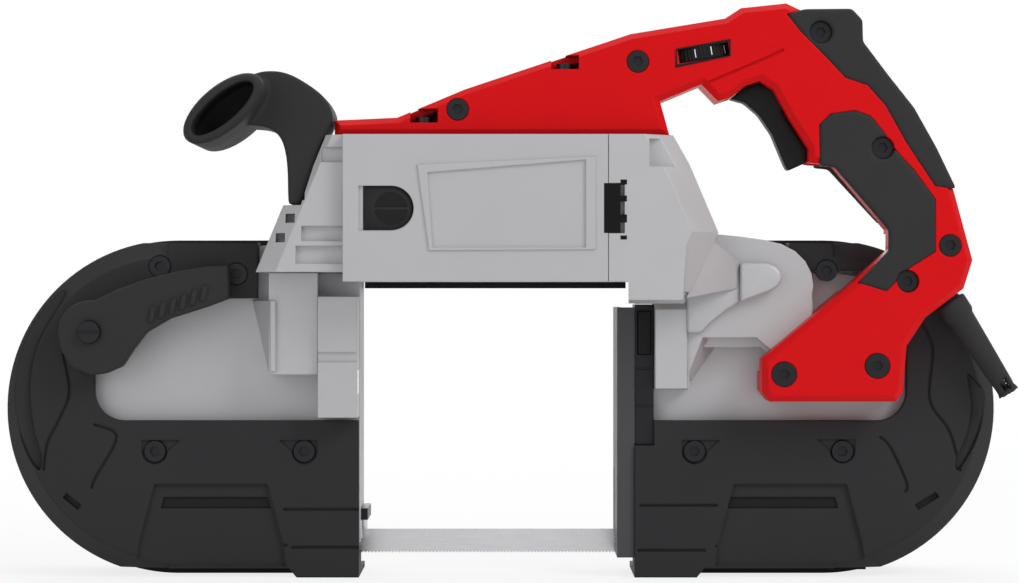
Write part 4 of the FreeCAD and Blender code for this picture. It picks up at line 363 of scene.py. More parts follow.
class Paint:
    """Node tree of a material or world, under construction."""

    def __init__(self, owner):
        owner.use_nodes = True
        self.owner = owner
        self.tree = owner.node_tree

    def own(self, kind="BSDF_PRINCIPLED"):
        """Node of this kind that the tree starts with."""
        return next(node for node in self.tree.nodes if node.type == kind)

    def feed(self, node, **inputs):
        """Link or set sockets of a node."""
        for key, value in inputs.items():
            target = pick(node.inputs, key)
            if isinstance(value, Socket):
                self.tree.links.new(value.output, target)
            else:
                target.default_value = value

    def node(self, kind, settings=None, output=None, **inputs):
        """Add one node: its settings first, then its sockets. Gives the named or else the first output."""
        node = self.tree.nodes.new(kind)
        for key, value in (settings or {}).items():
            setattr(node, key, value)
        self.feed(node, **inputs)
        return Socket(self, pick(node.outputs, output) if output else node.outputs[0])

    def place(self, stretch=(1, 1, 1)):
        """Object coordinates in metres, stretched along the axes."""
        coordinates = self.node("ShaderNodeTexCoord", output="Object")
        return self.node("ShaderNodeMapping", Vector=coordinates, Scale=stretch)

    def noise(self, waves, octaves, stretch=(1, 1, 1)):
        return self.node("ShaderNodeTexNoise", Vector=self.place(stretch), Scale=waves, Detail=octaves)

    def blend(self, factor, first, second):
        return self.node("ShaderNodeMix", {"data_type": "RGBA"}, "Result_Color",
                         Factor_Float=factor, A_Color=first, B_Color=second)

    def set(self, **inputs):
        self.feed(self.own(), **inputs)

    def relief(self, height, strength, distance, edge):
        """Fine bump on top of edges that catch the light as if rounded."""
        rounded = self.node("ShaderNodeBevel", {"samples": LIT_EDGE_SAMPLES}, Radius=edge)
        self.set(Normal=self.node("ShaderNodeBump", Height=height, Strength=strength,
                                  Distance=distance, Normal=rounded))


def tint(base, factor):
    return tuple(min(channel * factor, 1.0) for channel in base) + (1.0,)


def moulded(name, base, edge, roughness, grain, depth, mottle, shine=0.12, metallic=0.0, coat=0.0):
    """Painted, moulded or cast surface: fine grain in the relief, slow mottling and worn gloss."""
    paint = Paint(bpy.data.materials.new(name))
    slow = paint.noise(*MOTTLE_NOISE)
    fine = paint.noise(grain, GRAIN_OCTAVES)
    handled = paint.noise(*HANDLING_NOISE)
    shade = (slow * MOTTLE_SHARE + handled * (1 - MOTTLE_SHARE)).clamped(0.0, 1.0)
    gloss = handled * WORN_GLOSS + fine * GRAIN_GLOSS + (roughness - (WORN_GLOSS + GRAIN_GLOSS) / 2)
    paint.set(
        Base_Color=paint.blend(shade, tint(base, 1 - mottle), tint(base, 1 + mottle)),
        Roughness=gloss.clamped(*MOULDED_LIMITS), Metallic=metallic, Specular_IOR_Level=shine,
        Coat_Weight=coat, Coat_Roughness=COAT_ROUGHNESS)
    paint.relief(fine * GRAIN_SHARE + handled * (1 - GRAIN_SHARE), GRAIN_STRENGTH, depth, edge)
    return paint.owner


def machined(name, base, edge, roughness, stretch):
    """Metal with fine tool marks across the stretched direction and faint smudges."""
    paint = Paint(bpy.data.materials.new(name))
    marks = paint.noise(*TOOL_NOISE, stretch)
    smudge = paint.noise(*SMUDGE_NOISE)
    shade = (marks + smudge) * 0.5
    gloss = marks * MARK_GLOSS + smudge * SMUDGE_GLOSS + (roughness - (MARK_GLOSS + SMUDGE_GLOSS) / 2)
    paint.set(
        Base_Color=paint.blend(shade, *(tint(base, factor) for factor in METAL_TINTS)),
        Roughness=gloss.clamped(*METAL_LIMITS), Metallic=1.0)
    paint.relief(marks, MARK_STRENGTH, MARK_DEPTH, edge)
    return paint.owner


def glassy(name, base, edge, roughness, clearness, bending, depth):
    """Clear lens with a soft ripple."""
    paint = Paint(bpy.data.materials.new(name))
    ripple = paint.noise(*RIPPLE_NOISE)
    paint.set(
        Base_Color=paint.blend(ripple, *(tint(base, factor) for factor in LENS_TINTS)),
        Roughness=ripple * RIPPLE_GLOSS + roughness, Transmission_Weight=clearness, IOR=bending)
    paint.relief(ripple, RIPPLE_STRENGTH, depth, edge)
    return paint.owner


def finishes(colours, sizes):
    """Every finish by its slot name in the record."""
    cast, plastic = sizes.casting_edge, sizes.plastic_edge
    rubber, metal = sizes.rubber_edge, sizes.metal_edge
    looks = {
        "cast_grey": (moulded, colours.silver, cast, dict(
            roughness=0.46, grain=1500.0, depth=0.07 * MM, mottle=0.05, shine=0.4, metallic=0.2)),
        "housing_grey": (moulded, colours.silver, cast, dict(
            roughness=0.44, grain=1700.0, depth=0.06 * MM, mottle=0.04, shine=0.4, metallic=0.1)),
        "red_plastic": (moulded, colours.red, plastic, dict(
            roughness=0.42, grain=1300.0, depth=0.06 * MM, mottle=0.06, coat=0.02)),
        "dark_rubber": (moulded, colours.rubber, rubber, dict(
            roughness=0.62, grain=1100.0, depth=0.12 * MM, mottle=0.16)),
        "bumper_grey": (moulded, colours.bumper, rubber, dict(
            roughness=0.58, grain=900.0, depth=0.12 * MM, mottle=0.12)),
        "black_plastic": (moulded, colours.black, cast, dict(
            roughness=0.48, grain=1500.0, depth=0.07 * MM, mottle=0.2)),
        "carbon": (moulded, colours.black, metal, dict(
            roughness=0.75, grain=2200.0, depth=0.1 * MM, mottle=0.3, shine=0.05)),
        "shoe_steel": (moulded, colours.shoe, cast, dict(
            roughness=0.45, grain=1600.0, depth=0.08 * MM, mottle=0.1, shine=0.3, metallic=0.2)),
        "steel": (machined, colours.steel, metal, dict(roughness=0.28, stretch=(0.08, 1, 1))),
        "dark_steel": (machined, colours.dark_steel, metal, dict(roughness=0.42, stretch=(1, 0.2, 1))),
        "aluminium": (machined, colours.aluminium, metal, dict(roughness=0.34, stretch=(1, 0.1, 1))),
        "brass": (machined, colours.brass, metal, dict(roughness=0.3, stretch=(1, 0.2, 1))),
        "copper": (machined, colours.copper, metal, dict(roughness=0.32, stretch=(0.1, 1, 1))),
        "lens": (glassy, colours.lens, metal, dict(
            roughness=0.03, clearness=0.7, bending=1.49, depth=0.2 * MM)),
    }
    return {slot: make(slot, base, edge, **look) for slot, (make, base, edge, look) in looks.items()}


finish_of = {}


def slot_material(slot):
    if not finish_of:
        scene = bpy.context.scene
        finish_of.update(finishes(scene.band_saw_colours, scene.band_saw_sizes))
    return finish_of[slot]


# Shading of CAD nodes and of new meshes

def crisp_group():
    """Node group that shades smooth, and keeps edges sharper than its angle crisp."""
    name = "crisp_edges"
    if name in bpy.data.node_groups:
        return bpy.data.node_groups[name]
    group = bpy.data.node_groups.new(name, "GeometryNodeTree")
    for way in ("INPUT", "OUTPUT"):
        group.interface.new_socket("Geometry", in_out=way, socket_type="NodeSocketGeometry")
    start = group.nodes.new("NodeGroupInput")
    end = group.nodes.new("NodeGroupOutput")
    smooth = group.nodes.new("GeometryNodeSetShadeSmooth")
    crisp = group.nodes.new("GeometryNodeSetShadeSmooth")
    crisp.domain = "EDGE"
    crisp.inputs["Shade Smooth"].default_value = False
    angle = group.nodes.new("GeometryNodeInputMeshEdgeAngle")
    beyond = group.nodes.new("FunctionNodeCompare")
    beyond.operation = "GREATER_THAN"
    beyond.inputs[1].default_value = CRISP_ANGLE
    for source, target in (
            (start.outputs[0], smooth.inputs["Geometry"]),
            (smooth.outputs[0], crisp.inputs["Geometry"]),
            (angle.outputs["Unsigned Angle"], beyond.inputs[0]),
            (beyond.outputs[0], crisp.inputs["Selection"]),
            (crisp.outputs[0], end.inputs[0])):
        group.links.new(source, target)
    return group


def weld(node):
    welded = node.modifiers.new("weld", "WELD")
    welded.merge_threshold = WELD_REACH


def crisp(obj):
    edges = obj.modifiers.new("crisp", "NODES")
    edges.node_group = crisp_group()


def round_edges(piece, soft):
    rounded = piece.modifiers.new("rounded", "BEVEL")
    rounded.width = soft
    rounded.segments = ROUND_SEGMENTS
    rounded.limit_method = "ANGLE"
    rounded.angle_limit = CRISP_ANGLE


def finish(name):
    """Give a CAD node the finish of its slot, and join its faces at their edges."""
    node = NODES[name]
    node.data.materials.clear()
    node.data.materials.append(slot_material(SLOTS[name]))
    weld(node)
    return node


def dress(*names):
    """Finish CAD nodes, with their flat faces flat and their round ones smooth."""
    for name in names:
        crisp(finish(name))


def carve(name, cuts, swells=()):
    """Finish a CAD node of the frame, take cuts away from it and then join swells to it.

    A cut is an outline with its near and its far depth, and a swell is a closed mesh.
    """
    node = finish(name)
    forms = [("DIFFERENCE", prism(f"{name}_cut", *cut)) for cut in cuts]
    forms += [("UNION", swell) for swell in swells]
    for number, (operation, mesh) in enumerate(forms, start=1):
        former = link(f"{name}_former_{number}", mesh)
        former.hide_render = True
        former.display_type = "WIRE"
        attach(former, "frame")
        shaped = node.modifiers.new(f"shaped_{number}", "BOOLEAN")
        shaped.operation = operation
        shaped.solver = "EXACT"
        shaped.object = former
    crisp(node)


def soften(*names):
    """Finish rubber CAD nodes with every edge rounded, by a fine even mesh that is then smoothed."""
    for name in names:
        node = finish(name)
        even = node.modifiers.new("even", "REMESH")
        even.mode = "VOXEL"
        even.voxel_size = bpy.context.scene.band_saw_sizes.grain
        even.use_smooth_shade = True
        rounded = node.modifiers.new("rounded", "SMOOTH")
        rounded.factor = SMOOTH_FACTOR
        rounded.iterations = SMOOTH_PASSES[name]


def link(name, mesh):
    piece = bpy.data.objects.new(name, mesh)
    bpy.context.scene.collection.objects.link(piece)
    return piece


def add_piece(mesh, slot, body="frame", soft=0.0, stands_for=()):
    """Link a new mesh by its own name, finish it, round its edges and let it ride on its body."""
    piece = link(mesh.name, mesh)
    piece.data.materials.append(slot_material(slot))
    if soft:
        round_edges(piece, soft)
    crisp(piece)
    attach(piece, body)
    if stands_for:
        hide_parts(*stands_for)
    return piece


def add_coil(name, spring, joint):
    """Stand a coil in for a spring of the frame. The share of its length that its joint's travel leaves is worked
    out, but not used.
    """
    slide = next(row for row in frame["joints"] if row["name"] == joint)
    push = Vector(slide["axis"]).normalized()
    mesh = bpy.data.meshes.new(name)
    working = bmesh.new()
    working.from_mesh(NODES[spring].data)
    bmesh.ops.remove_doubles(working, verts=working.verts, dist=WELD_REACH)
    working.to_mesh(mesh)
    working.free()
    reach = [push.dot(vertex.co) for vertex in mesh.vertices]
    keep = 1 - slide["range_m"][1] / (max(reach) - min(reach))
    coil = add_piece(mesh, SLOTS[spring], stands_for=(spring,))
    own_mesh(coil)


# Meshes

def mesh_from(name, vertices, faces):
    mesh = bpy.data.meshes.new(name)
    mesh.from_pydata([tuple(vertex) for vertex in vertices], [], faces)
    working = bmesh.new()
    working.from_mesh(mesh)
    bmesh.ops.recalc_face_normals(working, faces=working.faces)
    working.to_mesh(mesh)
    working.free()
    return mesh


def between(name, front, back):
    """Closed solid between two outlines of as many points each."""
    count = len(front)
    sides = [(i, (i + 1) % count, count + (i + 1) % count, count + i) for i in range(count)]
    caps = [tuple(range(count)), tuple(range(count, 2 * count))]
    return mesh_from(name, front + back, sides + caps)


def prism(name, outline, near, far):
    """Outline in X and Z, drawn out from its near to its far depth."""
    return between(name, [(x, near, z) for x, z in outline], [(x, far, z) for x, z in outline])


def seen(points, depth):
    """X and Z of picture points on the upright plane at this depth, as the camera sees them."""
    sizes = bpy.context.scene.band_saw_sizes
    scale = (sizes.camera_distance + depth) * SENSOR_WIDTH / CAMERA_LENS / PICTURE_WIDTH
    return [((x - PICTURE_MIDDLE[0]) * scale + sizes.camera_shift,
             sizes.camera_height + (PICTURE_MIDDLE[1] - y) * scale) for x, y in points]


def at_depth(points, depth):
    """Picture points as places on the upright plane at this depth."""
    return [(x, depth, z) for x, z in seen(points, depth)]


def box_points(left, top, right, bottom):
    return [(left, top), (right, top), (right, bottom), (left, bottom)]


def flowing(points, steps, closed=False):
    """Smooth line through points, with this many steps from each to the next."""
    count = len(points)
    spans = count if closed else count - 1
    line = []
    for i in range(spans):
        if closed:
            four = [points[(i + k - 1) % count] for k in range(4)]
        else:
            four = [points[min(max(i + k - 1, 0), count - 1)] for k in range(4)]
        a, b, c, d = (Vector(point) for point in four)
        for step in range(steps):
            t = step / steps
            line.append(tuple(0.5 * (2 * b + (c - a) * t + (2 * a - 5 * b + 4 * c - d) * t ** 2
                                     + (3 * b - a - 3 * c + d) * t ** 3)))
    return line if closed else line + [tuple(points[-1])]


def ribbon(points, width):
    """Outline of an even band along a line of points."""
    left, right = [], []
    for i, point in enumerate(points):
        here = Vector(point)
        along = Vector(points[min(i + 1, len(points) - 1)]) - Vector(points[max(i - 1, 0)])
        side = Vector((-along.y, along.x)).normalized() * (width / 2)
        left.append(tuple(here + side))
        right.append(tuple(here - side))
    return left + right[::-1]


def half_round(x, y, radius, count, start):
    """Half circle from its start angle, with both its ends."""
    angles = [start + math.pi * i / count for i in range(count + 1)]
    return [(x + radius * math.cos(angle), y + radius * math.sin(angle)) for angle in angles]


# Operators

class BandSawOperator(bpy.types.Operator):
    """Shared base of the band saw's operators."""

    bl_options = {"REGISTER", "UNDO"}

    def sizes(self):
        return bpy.context.scene.band_saw_sizes


class BANDSAW_OT_castings(BandSawOperator):
    """Frame casting with its column slope and top link, and lamp housing with its lens."""

    bl_idname = "bandsaw.castings"
    bl_label = "Castings"

    def execute(self, context):
        dress("lamp_housing", "lamp_lens")
        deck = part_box("gear_case")[1].y
        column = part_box("lamp_housing")[0].y + COLUMN_SETBACK
        slope = between("slope", at_depth(COLUMN_SLOPE_FRONT, column), at_depth(COLUMN_SLOPE_BACK, deck))
        bridge = prism("bridge", seen(box_points(*TOP_LINK), deck), deck, deck + TOP_LINK_DEPTH)
        carve("frame_casting", (), (slope, bridge))
        return {"FINISHED"}


class BANDSAW_OT_gear_case(BandSawOperator):
    """Gear case with its facets and ledges, and the buttress, saddle and boss on its drum."""

    bl_idname = "bandsaw.gear_case"
    bl_label = "Gear case"

    def execute(self, context):
        low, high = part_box("gear_case")
        front, deck = low.y, high.y
        drum = deck - DRUM_PROUD
        boss = drum - BOSS_PROUD
        facet = front + FACET_DEPTH
        cuts = [
            (seen(CASE_RECESS, front), front - CLEAR, front + CASE_RECESS_DEPTH),
            (seen(box_points(*BOSS_CUT), boss), boss - CLEAR, drum),
            (seen(LEDGE_STEP, drum), drum - CLEAR, drum + LEDGE_STEP_DEPTH),
            (seen(LEDGE_CUT, drum), drum - CLEAR, deck + CLEAR)]
        swells = [
            between("corner", at_depth(CASE_CORNER_FRONT, front), at_depth(CASE_CORNER_BACK, facet)),
            between("apron", at_depth(box_points(*CASE_APRON_FRONT), front),
                    at_depth(box_points(*CASE_APRON_BACK), facet)),
            prism("skirt", seen(box_points(*CASE_SKIRT), drum), drum, drum + CASE_SKIRT_DEPTH),
            prism("shoulder", seen(DRUM_SHOULDER, drum), drum, deck),
            between("face", at_depth(box_points(*BLOCK_FACE_FRONT), drum - BLOCK_PROUD),
                    at_depth(box_points(*BLOCK_FACE_BACK), drum + BLOCK_ROOT)),
            between("slope", at_depth(BLOCK_SLOPE_FRONT, drum), at_depth(BLOCK_SLOPE_BACK, deck))]
        carve("gear_case", cuts, swells)
        root = drum + ROOT
        buttress = between(
            "drum_buttress",
            at_depth(BUTTRESS_HIGH, facet) + at_depth(BUTTRESS_LOW, boss + BUTTRESS_SETBACK),
            at_depth(BUTTRESS_HIGH + BUTTRESS_LOW, root))
        saddle = prism("drum_saddle", seen(SADDLE, boss), boss + SADDLE_SETBACK, root)
        face = prism("drum_boss", seen(BOSS_FACE, boss), boss, root)
        for mesh, soft in ((buttress, BUTTRESS_SOFT), (saddle, SADDLE_SOFT), (face, BOSS_SOFT)):
            add_piece(mesh, SLOTS["gear_case"], soft=soft)
        return {"FINISHED"}


class BANDSAW_OT_motor(BandSawOperator):
    """Motor housing, brush plate and caps, vent with its notches, and end cap with its slots."""

    bl_idname = "bandsaw.motor"
    bl_label = "Motor"

    def execute(self, context):
        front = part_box("gear_case")[0].y
        dress("motor_housing", "brush_caps")
        left, top, right, bottom = BRUSH_PLATE
        end = half_round(right, (top + bottom) / 2, (bottom - top) / 2, PLATE_POINTS, -math.pi / 2)
        plate = seen([(left, top), *end, (left, bottom)], front)
        add_piece(prism("brush_plate", plate, front + BRUSH_PLATE_NEAR, front + BRUSH_PLATE_FAR),
                  "bumper_grey", soft=BRUSH_PLATE_SOFT)
        screen = seen(box_points(*VENT), front)
        add_piece(prism("vent_screen", screen, front - VENT_PROUD, front + VENT_DEPTH), "carbon")
        for number, (high, low) in enumerate(VENT_NOTCHES, start=1):
            notch = seen(box_points(VENT[2], high, VENT_NOTCH_END, low), front)
            add_piece(prism(f"vent_notch_{number}", notch, front - VENT_NOTCH_PROUD,
                            front + VENT_NOTCH_DEPTH), "carbon")
        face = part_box("motor_end_cap")[0].y
        wide, tall = CAP_SLOT_HALF
        slots = [seen(box_points(x - wide, y - tall, x + wide, y + tall), face) for x, y in CAP_SLOTS]
        carve("motor_end_cap", [(slot, face - CLEAR, face + CAP_SLOT_DEPTH) for slot in slots])
        return {"FINISHED"}


class BANDSAW_OT_bumpers(BandSawOperator):
    """Rubber bumpers with their crescents, grooves, bands, screw ears and sills, and their screws, with dark
    inlays on the floors of the bands and crescents as painted shade.
    """

    bl_idname = "bandsaw.bumpers"
    bl_label = "Bumpers"

    def execute(self, context):
        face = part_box("front_bumper")[0].y
        self.bumper("front_bumper", FRONT_BUMPER, face)
        self.bumper("rear_bumper", REAR_BUMPER, face)
        dress("bumper_screws")
        return {"FINISHED"}

    def bumper(self, name, relief, face):
        sizes = self.sizes()
        crescent = seen(flowing(relief["crescent"], CRESCENT_STEPS, closed=True), face)
        slot = ribbon(seen(relief["slot"], face), sizes.slot_width)
        band = seen(relief["band"], face)
        lines = [flowing(seen(rib, face), RIB_STEPS) for rib in relief["ribs"]]
        lines += [seen(crease, face) for crease in relief["creases"]]
        cuts = [(crescent, sizes.crescent_depth)]
        cuts += [(ribbon(line, sizes.groove_width), sizes.groove_depth) for line in lines]
        cuts += [(slot, sizes.band_depth), (band, sizes.band_depth)]
        cuts += [(self.ear(*ear, face), sizes.groove_depth) for ear in relief["ears"]]
        carve(name, [(outline, face - CLEAR, face + depth) for outline, depth in cuts])
        # Painted shade: a black plastic inlay on the band's floor and a dark rubber one on the crescent's floor
        # stand in for the shade in these hollows.
        for part, outline, depth, finish_slot in (
                ("band", band, sizes.band_depth, "black_plastic"),
                ("crescent", crescent, sizes.crescent_depth, "dark_rubber")):
            ground = face + depth
            shade_inlay = prism(f"{name}_{part}", outline, ground - SHADE_INLAY_PROUD, ground + SHADE_INLAY_ROOT)
            add_piece(shade_inlay, finish_slot)
        rim, half = sizes.rim_start, sizes.sill_width / 2
        sill = prism(f"{name}_sill", seen(box_points(*relief["sill"]), rim), rim - half, rim + half)
        add_piece(sill, "bumper_grey")

    def ear(self, x, y, side, face):
        """Outline of a screw ear: round below and level above, with its tip drawn out to one side."""
        radius = self.sizes().ear_radius
        half, tip = radius * EAR_NARROW, radius * EAR_TIP
        (middle, height), = seen([(x, y)], face)
        top = height + radius * EAR_TOP
        right = middle + (tip if side > 0 else half)
        left = middle - (half if side > 0 else tip)
        return half_round(middle, height, half, EAR_POINTS, math.pi) + [(right, top), (left, top)]


class BANDSAW_OT_handle(BandSawOperator):
    """Handle shells, grips, cord sleeve, trigger with its spring, switch and screws."""

    bl_idname = "bandsaw.handle"
    bl_label = "Handle"

    def execute(self, context):
        sizes = self.sizes()
        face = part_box("handle_near_shell")[0].y
        crease = ribbon(seen(SHELL_CREASE, face), sizes.groove_width)
        carve("handle_near_shell", [(crease, face - CLEAR, face + sizes.groove_depth)])
        dress("handle_far_shell", "handle_screws", "handle_mount_screws", "switch_module")
        add_coil("trigger_coil", "trigger_spring", "trigger_pull")
        soften("grip_near", "grip_far", "trigger", "cord_sleeve")
        return {"FINISHED"}


class BANDSAW_OT_dial(BandSawOperator):
    """Ridged speed dial with light ticks, and the bezel of its window."""

    bl_idname = "bandsaw.dial"
    bl_label = "Speed dial"

    def execute(self, context):
        low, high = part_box("speed_dial")
        radius = (high.y - low.y) / 2
        half = (high.z - low.z - 2 * radius * math.sin(DIAL_TILT)) / (2 * math.cos(DIAL_TILT))
        turn = Matrix.Translation((low + high) / 2) @ Matrix.Rotation(-DIAL_TILT, 4, "Y")
        self.rim(radius, half, turn)
        for number in range(1, DIAL_TICKS + 1):
            angle = 2 * math.pi * (number - 0.5) / DIAL_TICKS
            self.tick(number, radius, half * TICK_TALL, turn @ Matrix.Rotation(angle, 4, "Z"))
        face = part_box("handle_near_shell")[0].y
        inner = [Vector(point) for point in seen(DIAL_WINDOW, face)]
        middle = sum(inner, Vector((0, 0))) / len(inner)
        outer = [middle + (point - middle) * Vector(BEZEL_SPREAD) for point in inner]
        add_piece(self.bezel(outer, inner, face - BEZEL_PROUD, face + BEZEL_ROOT), "black_plastic")
        return {"FINISHED"}

    def rim(self, radius, half, turn):
        count = DIAL_RIDGES * POINTS_PER_RIDGE
        outline = []
        for i in range(count):
            low = i % POINTS_PER_RIDGE >= POINTS_PER_RIDGE / 2
            reach = radius - (self.sizes().dial_ridge if low else 0.0)
            angle = 2 * math.pi * i / count
            outline.append((reach * math.cos(angle), reach * math.sin(angle)))
        ends = [[turn @ Vector((x, y, z)) for x, y in outline] for z in (-half, half)]
        add_piece(between("speed_dial_rim", *ends), "black_plastic", "speed_dial",
                  stands_for=("speed_dial",))

    def tick(self, number, radius, half, turn):
        corners = box_points(-TICK_HALF, half, TICK_HALF, -half)
        ends = [[turn @ Vector((radius - depth, y, z)) for y, z in corners]
                for depth in (TICK_ROOT, TICK_INSET)]
        add_piece(between(f"speed_tick_{number}", *ends), "aluminium", "speed_dial")

    def bezel(self, outer, inner, near, far):
        """Frame between an outer and an inner outline of as many points each."""
        count = len(outer)
        vertices = [(x, y, z) for y in (near, far) for outline in (outer, inner) for x, z in outline]
        faces = []
        for i in range(count):
            j = (i + 1) % count
            for first, second in ((0, 1), (2, 3), (0, 2), (1, 3)):
                a, b = first * count, second * count
                faces.append((a + i, a + j, b + j, b + i))
        return mesh_from("dial_bezel", vertices, faces)


class BANDSAW_OT_front_handle(BandSawOperator):
    """Rubber front handle."""

    bl_idname = "bandsaw.front_handle"
    bl_label = "Front handle"

    def execute(self, context):
        soften("front_handle")
        return {"FINISHED"}


class BANDSAW_OT_tension(BandSawOperator):
    """Tension lever with its slanted ribs, and the carriage and spring behind it."""

    bl_idname = "bandsaw.tension"
    bl_label = "Blade tension"

    def execute(self, context):
        sizes = self.sizes()
        soften("tension_lever")
        dress("tension_shaft", "tension_carriage")
        add_coil("tension_coil", "tension_spring", "tension_slide")
        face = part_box("tension_lever")[0].y
        first, last = Vector(LEVER_RIB_FIRST), Vector(LEVER_RIB_LAST)
        for i in range(LEVER_RIBS):
            foot = first.lerp(last, i / (LEVER_RIBS - 1))
            line = seen([foot, foot + Vector(LEVER_RIB_RISE)], face)
            rib = prism(f"lever_rib_{i + 1}", ribbon(line, sizes.rib_width), face - sizes.rib_height,
                        face + LEVER_RIB_ROOT)
            add_piece(rib, "dark_rubber", "tension_lever", soft=LEVER_RIB_SOFT)
        return {"FINISHED"}


class BANDSAW_OT_wheels(BandSawOperator):
    """Band wheels, tyres, shafts and guide rollers."""

    bl_idname = "bandsaw.wheels"
    bl_label = "Wheels and rollers"

    def execute(self, context):
        dress("drive_wheel", "drive_tyre", "drive_shaft", "idler_wheel", "idler_tyre", "idler_bearing",
              "idler_axle", "front_roller_near", "front_roller_far", "rear_roller_near", "rear_roller_far",
              "front_guide_bracket", "rear_guide_bracket", "blade_channel")
        return {"FINISHED"}


class BANDSAW_OT_blade(BandSawOperator):
    """Toothed band around both wheels, turned on edge through the throat."""

    bl_idname = "bandsaw.blade"
    bl_label = "Saw blade"

    def execute(self, context):
        sizes = self.sizes()
        low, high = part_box("saw_blade")
        thick = sizes.blade_thickness / 2
        self.radius = (high.z - low.z) / 2 - thick
        self.height = (high.z + low.z) / 2
        self.left = low.x + thick + self.radius
        self.right = high.x - thick - self.radius
        guides = [(sum(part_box(name), Vector()) / 2).x
                  for name in ("front_guide_bracket", "rear_guide_bracket")]
        loop = 2 * (self.right - self.left) + 2 * math.pi * self.radius
        count = 2 * round(loop / sizes.tooth_pitch)
        depth = (low.y + high.y) / 2
        half = (high.y - low.y) / 2
        vertices = []
        for i in range(count):
            spot, out, quarter = self.station(loop * i / count, guides, sizes.twist_run)
            angle = math.pi / 2 * quarter
            wide = Vector((0, math.cos(angle), math.sin(angle)))
            across = out * math.cos(angle) + Vector((0, math.sin(angle), 0))
            middle = Vector((spot.x, depth, spot.y))
            edge = half - (sizes.tooth_depth if i % 2 else 0.0)
            for width, side in ((-edge, -1), (-edge, 1), (half, 1), (half, -1)):
                vertices.append(middle + wide * width + across * thick * side)
        faces = []
        for i in range(count):
            here, following = 4 * i, 4 * ((i + 1) % count)
            for a, b in ((0, 1), (1, 2), (2, 3), (3, 0)):
                faces.append((here + a, here + b, following + b, following + a))
        add_piece(mesh_from("toothed_blade", vertices, faces), "steel", stands_for=("saw_blade",))
        return {"FINISHED"}

    def station(self, along, guides, run):
        """Place in X and Z, outward direction and share of a quarter turn, this far along the loop."""
        straight = self.right - self.left
        arc = math.pi * self.radius
        if along < straight:
            spot = Vector((self.left + along, self.height - self.radius))
            return spot, Vector((0, 0, -1)), self.twist(spot.x, guides, run)
        along -= straight
        if along < arc:
            angle = along / self.radius - math.pi / 2
            out = Vector((math.cos(angle), math.sin(angle)))
            return Vector((self.right, self.height)) + out * self.radius, Vector((out.x, 0, out.y)), 0.0
        along -= arc
        if along < straight:
            return Vector((self.right - along, self.height + self.radius)), Vector((0, 0, 1)), 0.0
        angle = (along - straight) / self.radius + math.pi / 2
        out = Vector((math.cos(angle), math.sin(angle)))
        return Vector((self.left, self.height)) + out * self.radius, Vector((out.x, 0, out.y)), 0.0

    def twist(self, x, guides, run):
        """Smooth step from flat to upright ahead of each guide, and back."""
        reach = min((x - guides[0] + run) / run, (guides[1] + run - x) / run)
        share = min(max(reach, 0.0), 1.0)
        return share * share * (3 - 2 * share)


class BANDSAW_OT_shoe(BandSawOperator):
    """Work shoe, its lock button, and its bracket with steps and a seat below."""

    bl_idname = "bandsaw.shoe"
    bl_label = "Work shoe"

    def execute(self, context):
        sizes = self.sizes()
        dress("work_shoe", "shoe_button")
        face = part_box("shoe_bracket")[0].y
        steps = [ribbon(seen(step, face), sizes.groove_width) for step in BRACKET_STEPS]
        carve("shoe_bracket", [(step, face - CLEAR, face + sizes.groove_depth) for step in steps])
        seat = seen(box_points(*BRACKET_SEAT), face)
        add_piece(prism("bracket_seat", seat, face + BRACKET_SEAT_NEAR, face + BRACKET_SEAT_FAR),
                  "bumper_grey")
        return {"FINISHED"}


class BANDSAW_OT_drive(BandSawOperator):
    """Motor internals and gears."""

    bl_idname = "bandsaw.drive"
    bl_label = "Drive"

    def execute(self, context):
        dress("stator_core", "brush_holders", "carbon_brushes", "motor_bearings", "counter_bearings",
              "drive_bearings", "armature_core", "armature_shaft", "commutator", "cooling_fan", "worm",
              "countershaft", "worm_wheel", "counter_pinion", "idler_gear", "drive_gear")
        return {"FINISHED"}


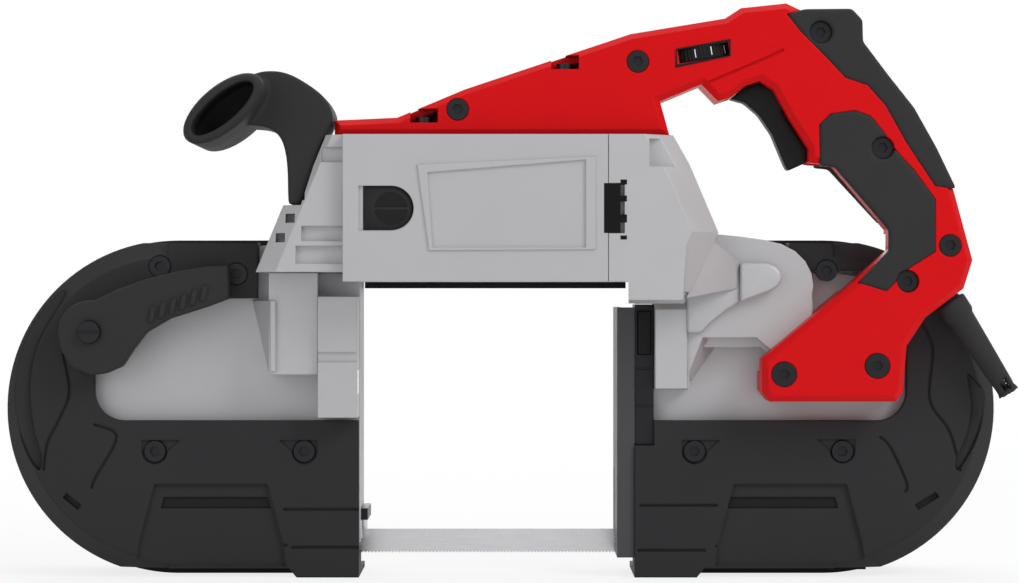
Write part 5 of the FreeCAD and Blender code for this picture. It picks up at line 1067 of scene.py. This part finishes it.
class BANDSAW_OT_stage(BandSawOperator):
    """Camera, lights, floor and surroundings."""

    bl_idname = "bandsaw.stage"
    bl_label = "Stage"

    def execute(self, context):
        sizes = self.sizes()
        scene = context.scene
        scene.view_settings.view_transform = "Standard"
        data = bpy.data.cameras.new("camera")
        data.lens = CAMERA_LENS
        data.sensor_width = SENSOR_WIDTH
        data.dof.use_dof = False
        camera = bpy.data.objects.new("camera", data)
        camera.location = (sizes.camera_shift, -sizes.camera_distance, sizes.camera_height)
        camera.rotation_euler = (math.radians(90), 0, 0)
        scene.collection.objects.link(camera)
        scene.camera = camera
        self.lights(scene)
        self.surroundings(scene)
        self.floor(scene)
        return {"FINISHED"}

    def lights(self, scene):
        for name, (place, power, size) in LIGHTS.items():
            data = bpy.data.lights.new(name, "AREA")
            data.energy = power
            data.size = size
            light = bpy.data.objects.new(name, data)
            light.location = place
            aim = Vector(LIGHT_AIM) - Vector(place)
            light.rotation_euler = aim.to_track_quat("-Z", "Y").to_euler()
            scene.collection.objects.link(light)

    def plain_view(self, paint):
        """One where the camera sees a surface straight, in a mirror or through glass, else zero."""
        rays = [paint.node("ShaderNodeLightPath", output=f"Is_{kind}_Ray")
                for kind in ("Camera", "Glossy", "Transmission")]
        return (rays[0] + rays[1] + rays[2]).clamped(0.0, 1.0)

    def surroundings(self, scene):
        paint = Paint(bpy.data.worlds.new("surroundings"))
        paint.feed(paint.own("BACKGROUND"), Color=(*scene.band_saw_colours.floor, 1.0),
                   Strength=self.plain_view(paint) * (1 - AMBIENT) + AMBIENT)
        scene.world = paint.owner

    def floor(self, scene):
        """Floor that looks white from afar, and keeps the saw's shadow near it."""
        reach = self.sizes().floor_reach
        white = (*scene.band_saw_colours.floor, 1.0)
        corners = [(x, y, 0.0) for x, y in box_points(-reach, reach, reach, -reach)]
        floor = link("floor", mesh_from("floor", corners, [(0, 1, 2, 3)]))
        paint = Paint(bpy.data.materials.new("pale_floor"))
        paint.set(Base_Color=white, Roughness=FLOOR_ROUGHNESS)
        glow = paint.node("ShaderNodeEmission", Color=white, Strength=1.0)
        away = paint.node("ShaderNodeVectorMath", {"operation": "LENGTH"}, "Value", Vector=paint.place())
        share = (away * FLOOR_WHITE_GROWTH + FLOOR_WHITE_START).clamped(FLOOR_WHITE_LEAST, 1.0)
        mixed = paint.node("ShaderNodeMixShader", Fac=self.plain_view(paint) * share,
                           Shader=Socket(paint, paint.own().outputs[0]), Shader_001=glow)
        paint.feed(paint.own("OUTPUT_MATERIAL"), Surface=mixed)
        floor.data.materials.append(paint.owner)


OPERATORS = (
    BANDSAW_OT_castings, BANDSAW_OT_gear_case, BANDSAW_OT_motor, BANDSAW_OT_bumpers, BANDSAW_OT_handle,
    BANDSAW_OT_dial, BANDSAW_OT_front_handle, BANDSAW_OT_tension, BANDSAW_OT_wheels, BANDSAW_OT_blade,
    BANDSAW_OT_shoe, BANDSAW_OT_drive, BANDSAW_OT_stage)


class BANDSAW_PT_panel(bpy.types.Panel):
    """Sidebar panel with the saw's operators, sizes and colours."""

    bl_idname = "BANDSAW_PT_panel"
    bl_label = "Band saw"
    bl_space_type = "VIEW_3D"
    bl_region_type = "UI"
    bl_category = "Band saw"

    def draw(self, context):
        for operator in OPERATORS:
            self.layout.operator(operator.bl_idname)
        for group in (context.scene.band_saw_sizes, context.scene.band_saw_colours):
            for name in group.__annotations__:
                self.layout.prop(group, name)


CLASSES = (BandSawSizes, BandSawColours, *OPERATORS, BANDSAW_PT_panel)


def register():
    for item in CLASSES:
        bpy.utils.register_class(item)
    bpy.types.Scene.band_saw_sizes = bpy.props.PointerProperty(type=BandSawSizes)
    bpy.types.Scene.band_saw_colours = bpy.props.PointerProperty(type=BandSawColours)


def unregister():
    del bpy.types.Scene.band_saw_colours
    del bpy.types.Scene.band_saw_sizes
    for item in reversed(CLASSES):
        bpy.utils.unregister_class(item)


def main():
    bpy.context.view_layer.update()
    register()
    bpy.ops.bandsaw.castings()
    bpy.ops.bandsaw.gear_case()
    bpy.ops.bandsaw.motor()
    bpy.ops.bandsaw.bumpers()
    bpy.ops.bandsaw.handle()
    bpy.ops.bandsaw.dial()
    bpy.ops.bandsaw.front_handle()
    bpy.ops.bandsaw.tension()
    bpy.ops.bandsaw.wheels()
    bpy.ops.bandsaw.blade()
    bpy.ops.bandsaw.shoe()
    bpy.ops.bandsaw.drive()
    bpy.ops.bandsaw.stage()


if __name__ == "__main__":
    main()
